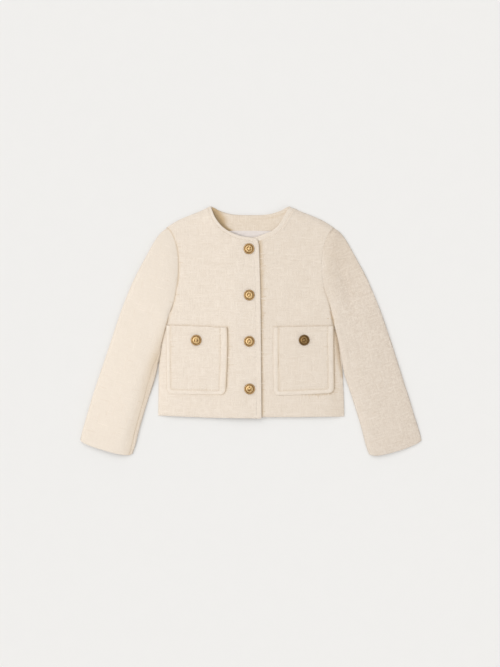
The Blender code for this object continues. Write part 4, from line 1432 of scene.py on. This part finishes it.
def satin_material():
    material, tree, shader = new_material("lining satin")
    threads = stretched_noise(tree, uv_map(tree), (0.0004, 0.012, 1.0), 1.0, (0.0, 0.0, 0.0))
    colour = mixed(tree, threads, (0.515, 0.465, 0.437, 1), (0.65, 0.594, 0.560, 1))
    feed(tree, shader, {"Base Color": colour, "Normal": bumped(tree, threads, 0.05)})
    feed(tree, shader, {"Roughness": 0.38, "Anisotropic": 0.4})
    return material


def brass_material(name, hollow, worn, roughness):
    """Antique brass: dark in its hollows and worn bright where it is handled."""
    material, tree, shader = new_material(name)
    wear = attribute(tree, "seam")
    place = add(tree, "ShaderNodeTexCoord").outputs["Object"]
    specks = {"Vector": place, "Scale": 900.0, "Detail": 4.0, "Roughness": 0.65}
    grime = add(tree, "ShaderNodeTexNoise", specks).outputs["Fac"]
    bright = maths(tree, "MULTIPLY_ADD", grime, 0.5, maths(tree, "SUBTRACT", wear, 0.25))
    bright = smooth_step(tree, bright, 0.05, 0.85)
    dull = maths(tree, "MULTIPLY_ADD", bright, -0.22, roughness + 0.2)
    feed(tree, shader, {"Base Color": mixed(tree, bright, hollow, worn), "Roughness": dull})
    feed(tree, shader, {"Normal": bumped(tree, grime, 0.06), "Metallic": 1.0})
    return material


satin = satin_material()
brass = brass_material("antique brass", (0.15, 0.068, 0.020, 1), (0.54, 0.372, 0.18, 1), 0.46)
# The left pocket's button is the same brass made darker: painted shade, as it catches less of the light.
shaded_brass = brass_material("dark antique brass", (0.078, 0.040, 0.015, 1), (0.225, 0.138, 0.055, 1), 0.48)

for node, piece in pieces.items():
    if "button" in node:
        finish = shaded_brass if node == "pocket_button_left" else brass
    elif "band" in node:
        finish = pressed
    else:
        finish = {"lining": satin, "back_neck_facing": shaded, "upper_sleeve_right": smooth}.get(node, boucle)
    piece.data.materials.append(finish)
print("materials:", sorted(material.name for material in bpy.data.materials if material.users))

# %% Scatter the slubs
SCATTERED = {  # node: spacing in mm and share kept
    "front_right": (5.2, 0.55),
    "front_left": (5.2, 0.55),
    "pocket_right": (5.2, 0.50),
    "pocket_left": (5.2, 0.50),
    "upper_sleeve_right": (5.6, 0.12),
    "upper_sleeve_left": (5.6, 0.45),
}


def scatter(node, spacing, share, seed):
    layer = put(bpy.data.objects.new("outer layer", pieces[node].data))
    holder = put(bpy.data.objects.new(f"{node}_slubs", bpy.data.meshes.new("empty")))
    modifier = holder.modifiers.new("slubs", "NODES")
    modifier.node_group = slub_nodes
    inputs = {"Layer": layer, "Slub": slub_shape, "Material": boucle}
    inputs |= {"Spacing": spacing * MM, "Share": share, "Seed": seed}
    for name, value in inputs.items():
        modifier[slub_inputs[name]] = value
    graph = bpy.context.evaluated_depsgraph_get()
    mesh = bpy.data.meshes.new_from_object(holder.evaluated_get(graph))
    holder.modifiers.clear()
    holder.data = mesh
    bpy.data.objects.remove(layer)
    return holder


slubs = {}
for seed, (node, (spacing, share)) in enumerate(SCATTERED.items()):
    slubs[node] = scatter(node, spacing, share, 11 + seed)
    print(slubs[node].name, len(slubs[node].data.polygons), "faces")

# %% [markdown]
# ## What each piece is
# Every piece rides on the one rigid body and stands in for its imported solid. The size that each cloth
# piece was cut to is worked out and printed.

LEAST_SIDE = 0.0101  # a band's cut size is taken as no narrower than this; a sheet is declared no narrower than this


def flat_cut(node):
    """The size a piece was cut to, and its area where that isn't a rectangle."""
    if node in cuts:
        return [max(LEAST_SIDE, side * MM) for side in cuts[node]], None
    mesh = pieces[node].data
    layer = np.empty(2 * len(mesh.loops), np.float32)
    mesh.uv_layers[0].uv.foreach_get("vector", layer)
    size = np.ptp(layer.reshape(-1, 2), axis=0)
    return [float(side) for side in size], sum(face.area for face in mesh.polygons)


for node, piece in pieces.items():
    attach(piece, "root")
    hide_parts(node)
    if "button" in node:
        continue
    if node in slubs:
        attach(slubs[node], "root")
    flat, area = flat_cut(node)
    if area is not None:
        area = min(area, flat[0] * flat[1])
    print(node, [round(side, 3) for side in flat], area and round(area, 4))

# %% [markdown]
# ## Table, camera and light
# The jacket was laid on a pale table and seen from straight above, from far enough away that its edges show
# little. A wide sky and a pale room light it, so that its shadows are thin and soft. A lamp at its right
# side lights only the jacket, and a low fill without shadows opens the other side. The buttons don't shade
# the cloth from the sky or from the lamp, because under so wide a light a real shank button hardly does.

# %% Table
TABLE = (0.776, 0.767, 0.750, 1.0)
bpy.ops.mesh.primitive_plane_add(size=12, location=(0, 0, -0.3 * MM))
table = bpy.context.object
table.name = "table"
material, tree, shader = new_material("pale table")
fine = add(tree, "ShaderNodeTexNoise", {"Scale": 260.0, "Detail": 3.0}).outputs["Fac"]
speckled = mixed(tree, fine, [0.985 * part for part in TABLE[:3]] + [1], TABLE)
feed(tree, shader, {"Base Color": speckled, "Roughness": 0.9, "Specular IOR Level": 0.1})
table.data.materials.append(material)
table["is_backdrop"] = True

# %% Camera
VIEW_CENTRE = (-0.5 * MM, -4.8 * MM)
VIEW_HEIGHT = 1.6008
LENS, SENSOR = 90.0, 36.0
JACKET_MIDDLE = 8 * MM  # the view spans its full height at this level
camera_data = bpy.data.cameras.new("overhead camera")
camera_data.lens = LENS
camera_data.sensor_fit = "VERTICAL"
camera_data.sensor_height = SENSOR
camera_data.clip_end = 50
camera = put(bpy.data.objects.new("overhead camera", camera_data))
camera.location = (*VIEW_CENTRE, VIEW_HEIGHT * LENS / SENSOR + JACKET_MIDDLE)
bpy.context.scene.camera = camera
print("camera height", round(camera.location.z, 3), "m")

# %% Light
world = bpy.data.worlds.new("pale room")
world.use_nodes = True
room = {"Color": (0.99, 0.995, 1.0, 1), "Strength": 0.585}
feed(world.node_tree, world.node_tree.nodes["Background"], room)
bpy.context.scene.world = world


def aimed(name, kind, place, **settings):
    """A lamp at a place, aimed at the jacket."""
    data = bpy.data.lights.new(name, kind)
    for setting, value in settings.items():
        setattr(data, setting, value)
    lamp = put(bpy.data.objects.new(name, data))
    lamp.location = place
    lamp.rotation_euler = (-lamp.location).to_track_quat("-Z", "Y").to_euler()
    return lamp


SKY_PLACE, SKY_WIDTH = (-1.15, 1.05, 2.5), math.radians(84)
skylight = aimed("skylight", "SUN", SKY_PLACE, energy=1.745, angle=SKY_WIDTH, color=(1.0, 0.99, 0.98))
side_lamp = aimed("side lamp", "AREA", (-0.80, 0.0, 1.0), energy=4.8, size=0.45, color=(1.0, 0.985, 0.96))
aimed("low fill", "SUN", (0.85, -1.15, 0.40), energy=0.95, angle=math.radians(60), use_shadow=False)
on_jacket = bpy.data.collections.new("jacket for the lamps beside it")
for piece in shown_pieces():
    on_jacket.objects.link(piece)
side_lamp.light_linking.receiver_collection = on_jacket
cloth_only = bpy.data.collections.new("cloth that shades from the sky")
for node, piece in pieces.items():
    if "button" not in node:
        cloth_only.objects.link(piece)
for lamp in (skylight, side_lamp):
    lamp.light_linking.blocker_collection = cloth_only
bpy.context.scene.view_settings.view_transform = "Standard"
print("three lamps and a pale room set")
